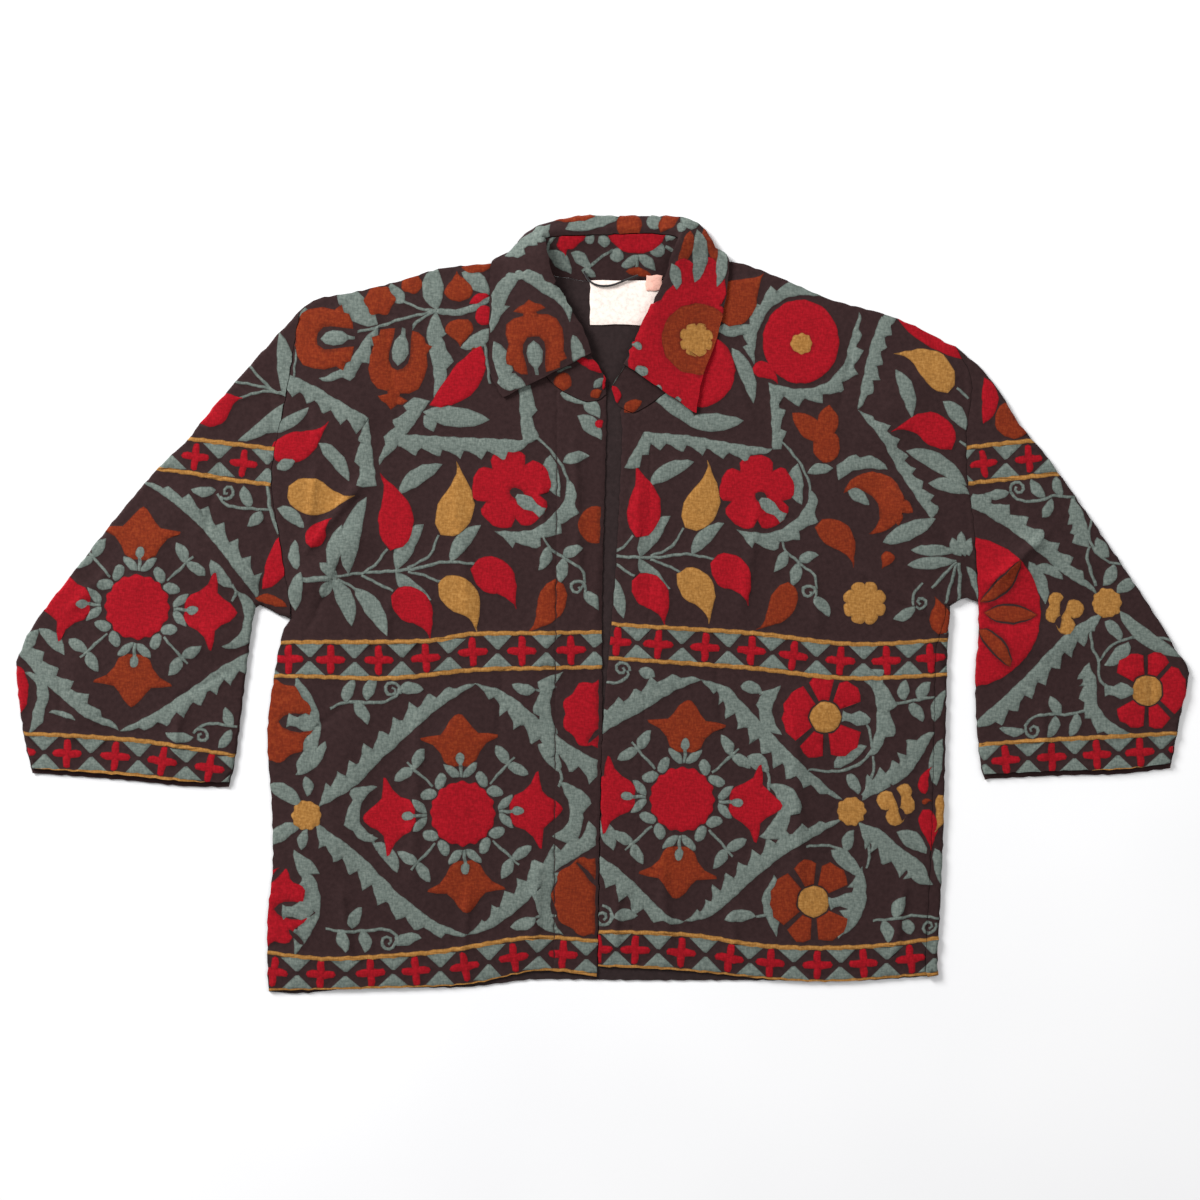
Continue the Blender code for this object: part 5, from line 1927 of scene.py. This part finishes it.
def make_stage():
    mesh = bpy.data.meshes.new("floor")
    half = 6.0
    corners = [(-half, -half, 0), (half, -half, 0), (half, half, 0), (-half, half, 0)]
    mesh.from_pydata(corners, [], [(0, 1, 2, 3)])
    material, tree = new_material("floor")
    shader = tree.nodes["Principled BSDF"]
    patches = noise(tree, object_place(tree), 3.0)
    tone = ramp(tree, patches, (0.3, (0.86, 0.86, 0.87)), (0.7, (0.9, 0.9, 0.905)))
    tree.links.new(tone, shader.inputs["Base Color"])
    shader.inputs["Roughness"].default_value = 0.9
    mesh.materials.append(material)
    linked("floor", mesh)


def add_light(name, place, size, power):
    """A square light that points at the middle of the garment."""
    light = bpy.data.lights.new(name, "AREA")
    light.shape = "SQUARE"
    light.size = size
    light.energy = power
    item = linked(name, light)
    item.location = place
    item.rotation_euler = Vector(place).to_track_quat("Z", "Y").to_euler()


def make_light():
    world = bpy.data.worlds.new("studio")
    bpy.context.scene.world = world
    world.use_nodes = True
    background = world.node_tree.nodes["Background"]
    background.inputs["Color"].default_value = (1.0, 1.0, 1.0, 1.0)
    background.inputs["Strength"].default_value = 0.39
    add_light("key", (-2.4, 2.2, 1.75), 1.3, 199.0)
    add_light("fill", (1.8, 0.6, 2.4), 2.0, 25.0)


def make_camera():
    """Looks straight down, and takes in a square of the layout grid."""
    lens = 85.0
    sensor = 36.0
    picture = 1200
    distance = picture * STEP * MM * lens / sensor
    camera = bpy.data.cameras.new("camera")
    camera.lens = lens
    camera.sensor_width = sensor
    item = linked("camera", camera)
    middle = flat(picture / 2, picture / 2) * MM
    item.location = (middle.x, middle.y, distance)
    bpy.context.scene.camera = item


make_stage()
make_light()
make_camera()

back = make_back()
front_right = make_front_right()
front_left = make_front_left()
sleeve_right = make_sleeve("right_sleeve", ARMHOLE_RIGHT, SLEEVE_TOP_RIGHT, CUFF_RIGHT,
                           SLEEVE_UNDER_RIGHT, sleeve_right_pattern())
sleeve_left = make_sleeve("left_sleeve", ARMHOLE_LEFT, SLEEVE_UNDER_LEFT, CUFF_LEFT,
                          SLEEVE_TOP_LEFT, sleeve_left_pattern())
lining = make_lining()
stand = make_collar_stand()
leaf = make_collar_leaf()
label = make_tape("neck_label", LABEL, LABEL_LOW, LABEL_CLOTH, label_tape)
tab = make_tape("small_tab", TAB, TAB_LOW, LABEL_CLOTH, tab_tape)
loop = make_loop()

# Columns: piece, node, slot, flat width, flat length, flat area in square metres if the
# cut isn't a rectangle, and the piece that it rests on if that isn't the table
CLOTH_PIECES = (
    (back, "back", "embroidered_cloth", 0.74, 0.66, 0.40, []),
    (front_right, "front_right", "embroidered_cloth", 0.32, 0.66, 0.172, ["back_cloth"]),
    (front_left, "front_left", "embroidered_cloth", 0.34, 0.66, 0.172, ["back_cloth"]),
    (sleeve_right, "sleeve_right", "embroidered_cloth", 0.54, 0.47, 0.113, []),
    (sleeve_left, "sleeve_left", "embroidered_cloth", 0.46, 0.42, 0.088, []),
    (stand, "collar_stand", "embroidered_cloth", 0.5, 0.04, 0.018, ["back_cloth"]),
    (leaf, "collar_leaf", "embroidered_cloth", 0.5, 0.07, 0.028, ["stand_cloth"]),
    (lining, "lining", "lining_cloth", 0.2, 0.5, 0.045, ["back_cloth"]),
    (label, "label", "label_tape", 0.065, 0.039, None, ["neck_lining"]),
    (tab, "size_tab", "tab_tape", 0.014, 0.013, None, ["neck_label"]),
)
for piece, node_name, slot, width, length, area, rests in CLOTH_PIECES:
    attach(piece, "root")
    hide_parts(node_name)
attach(loop, "root")
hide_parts("hanging_loop")
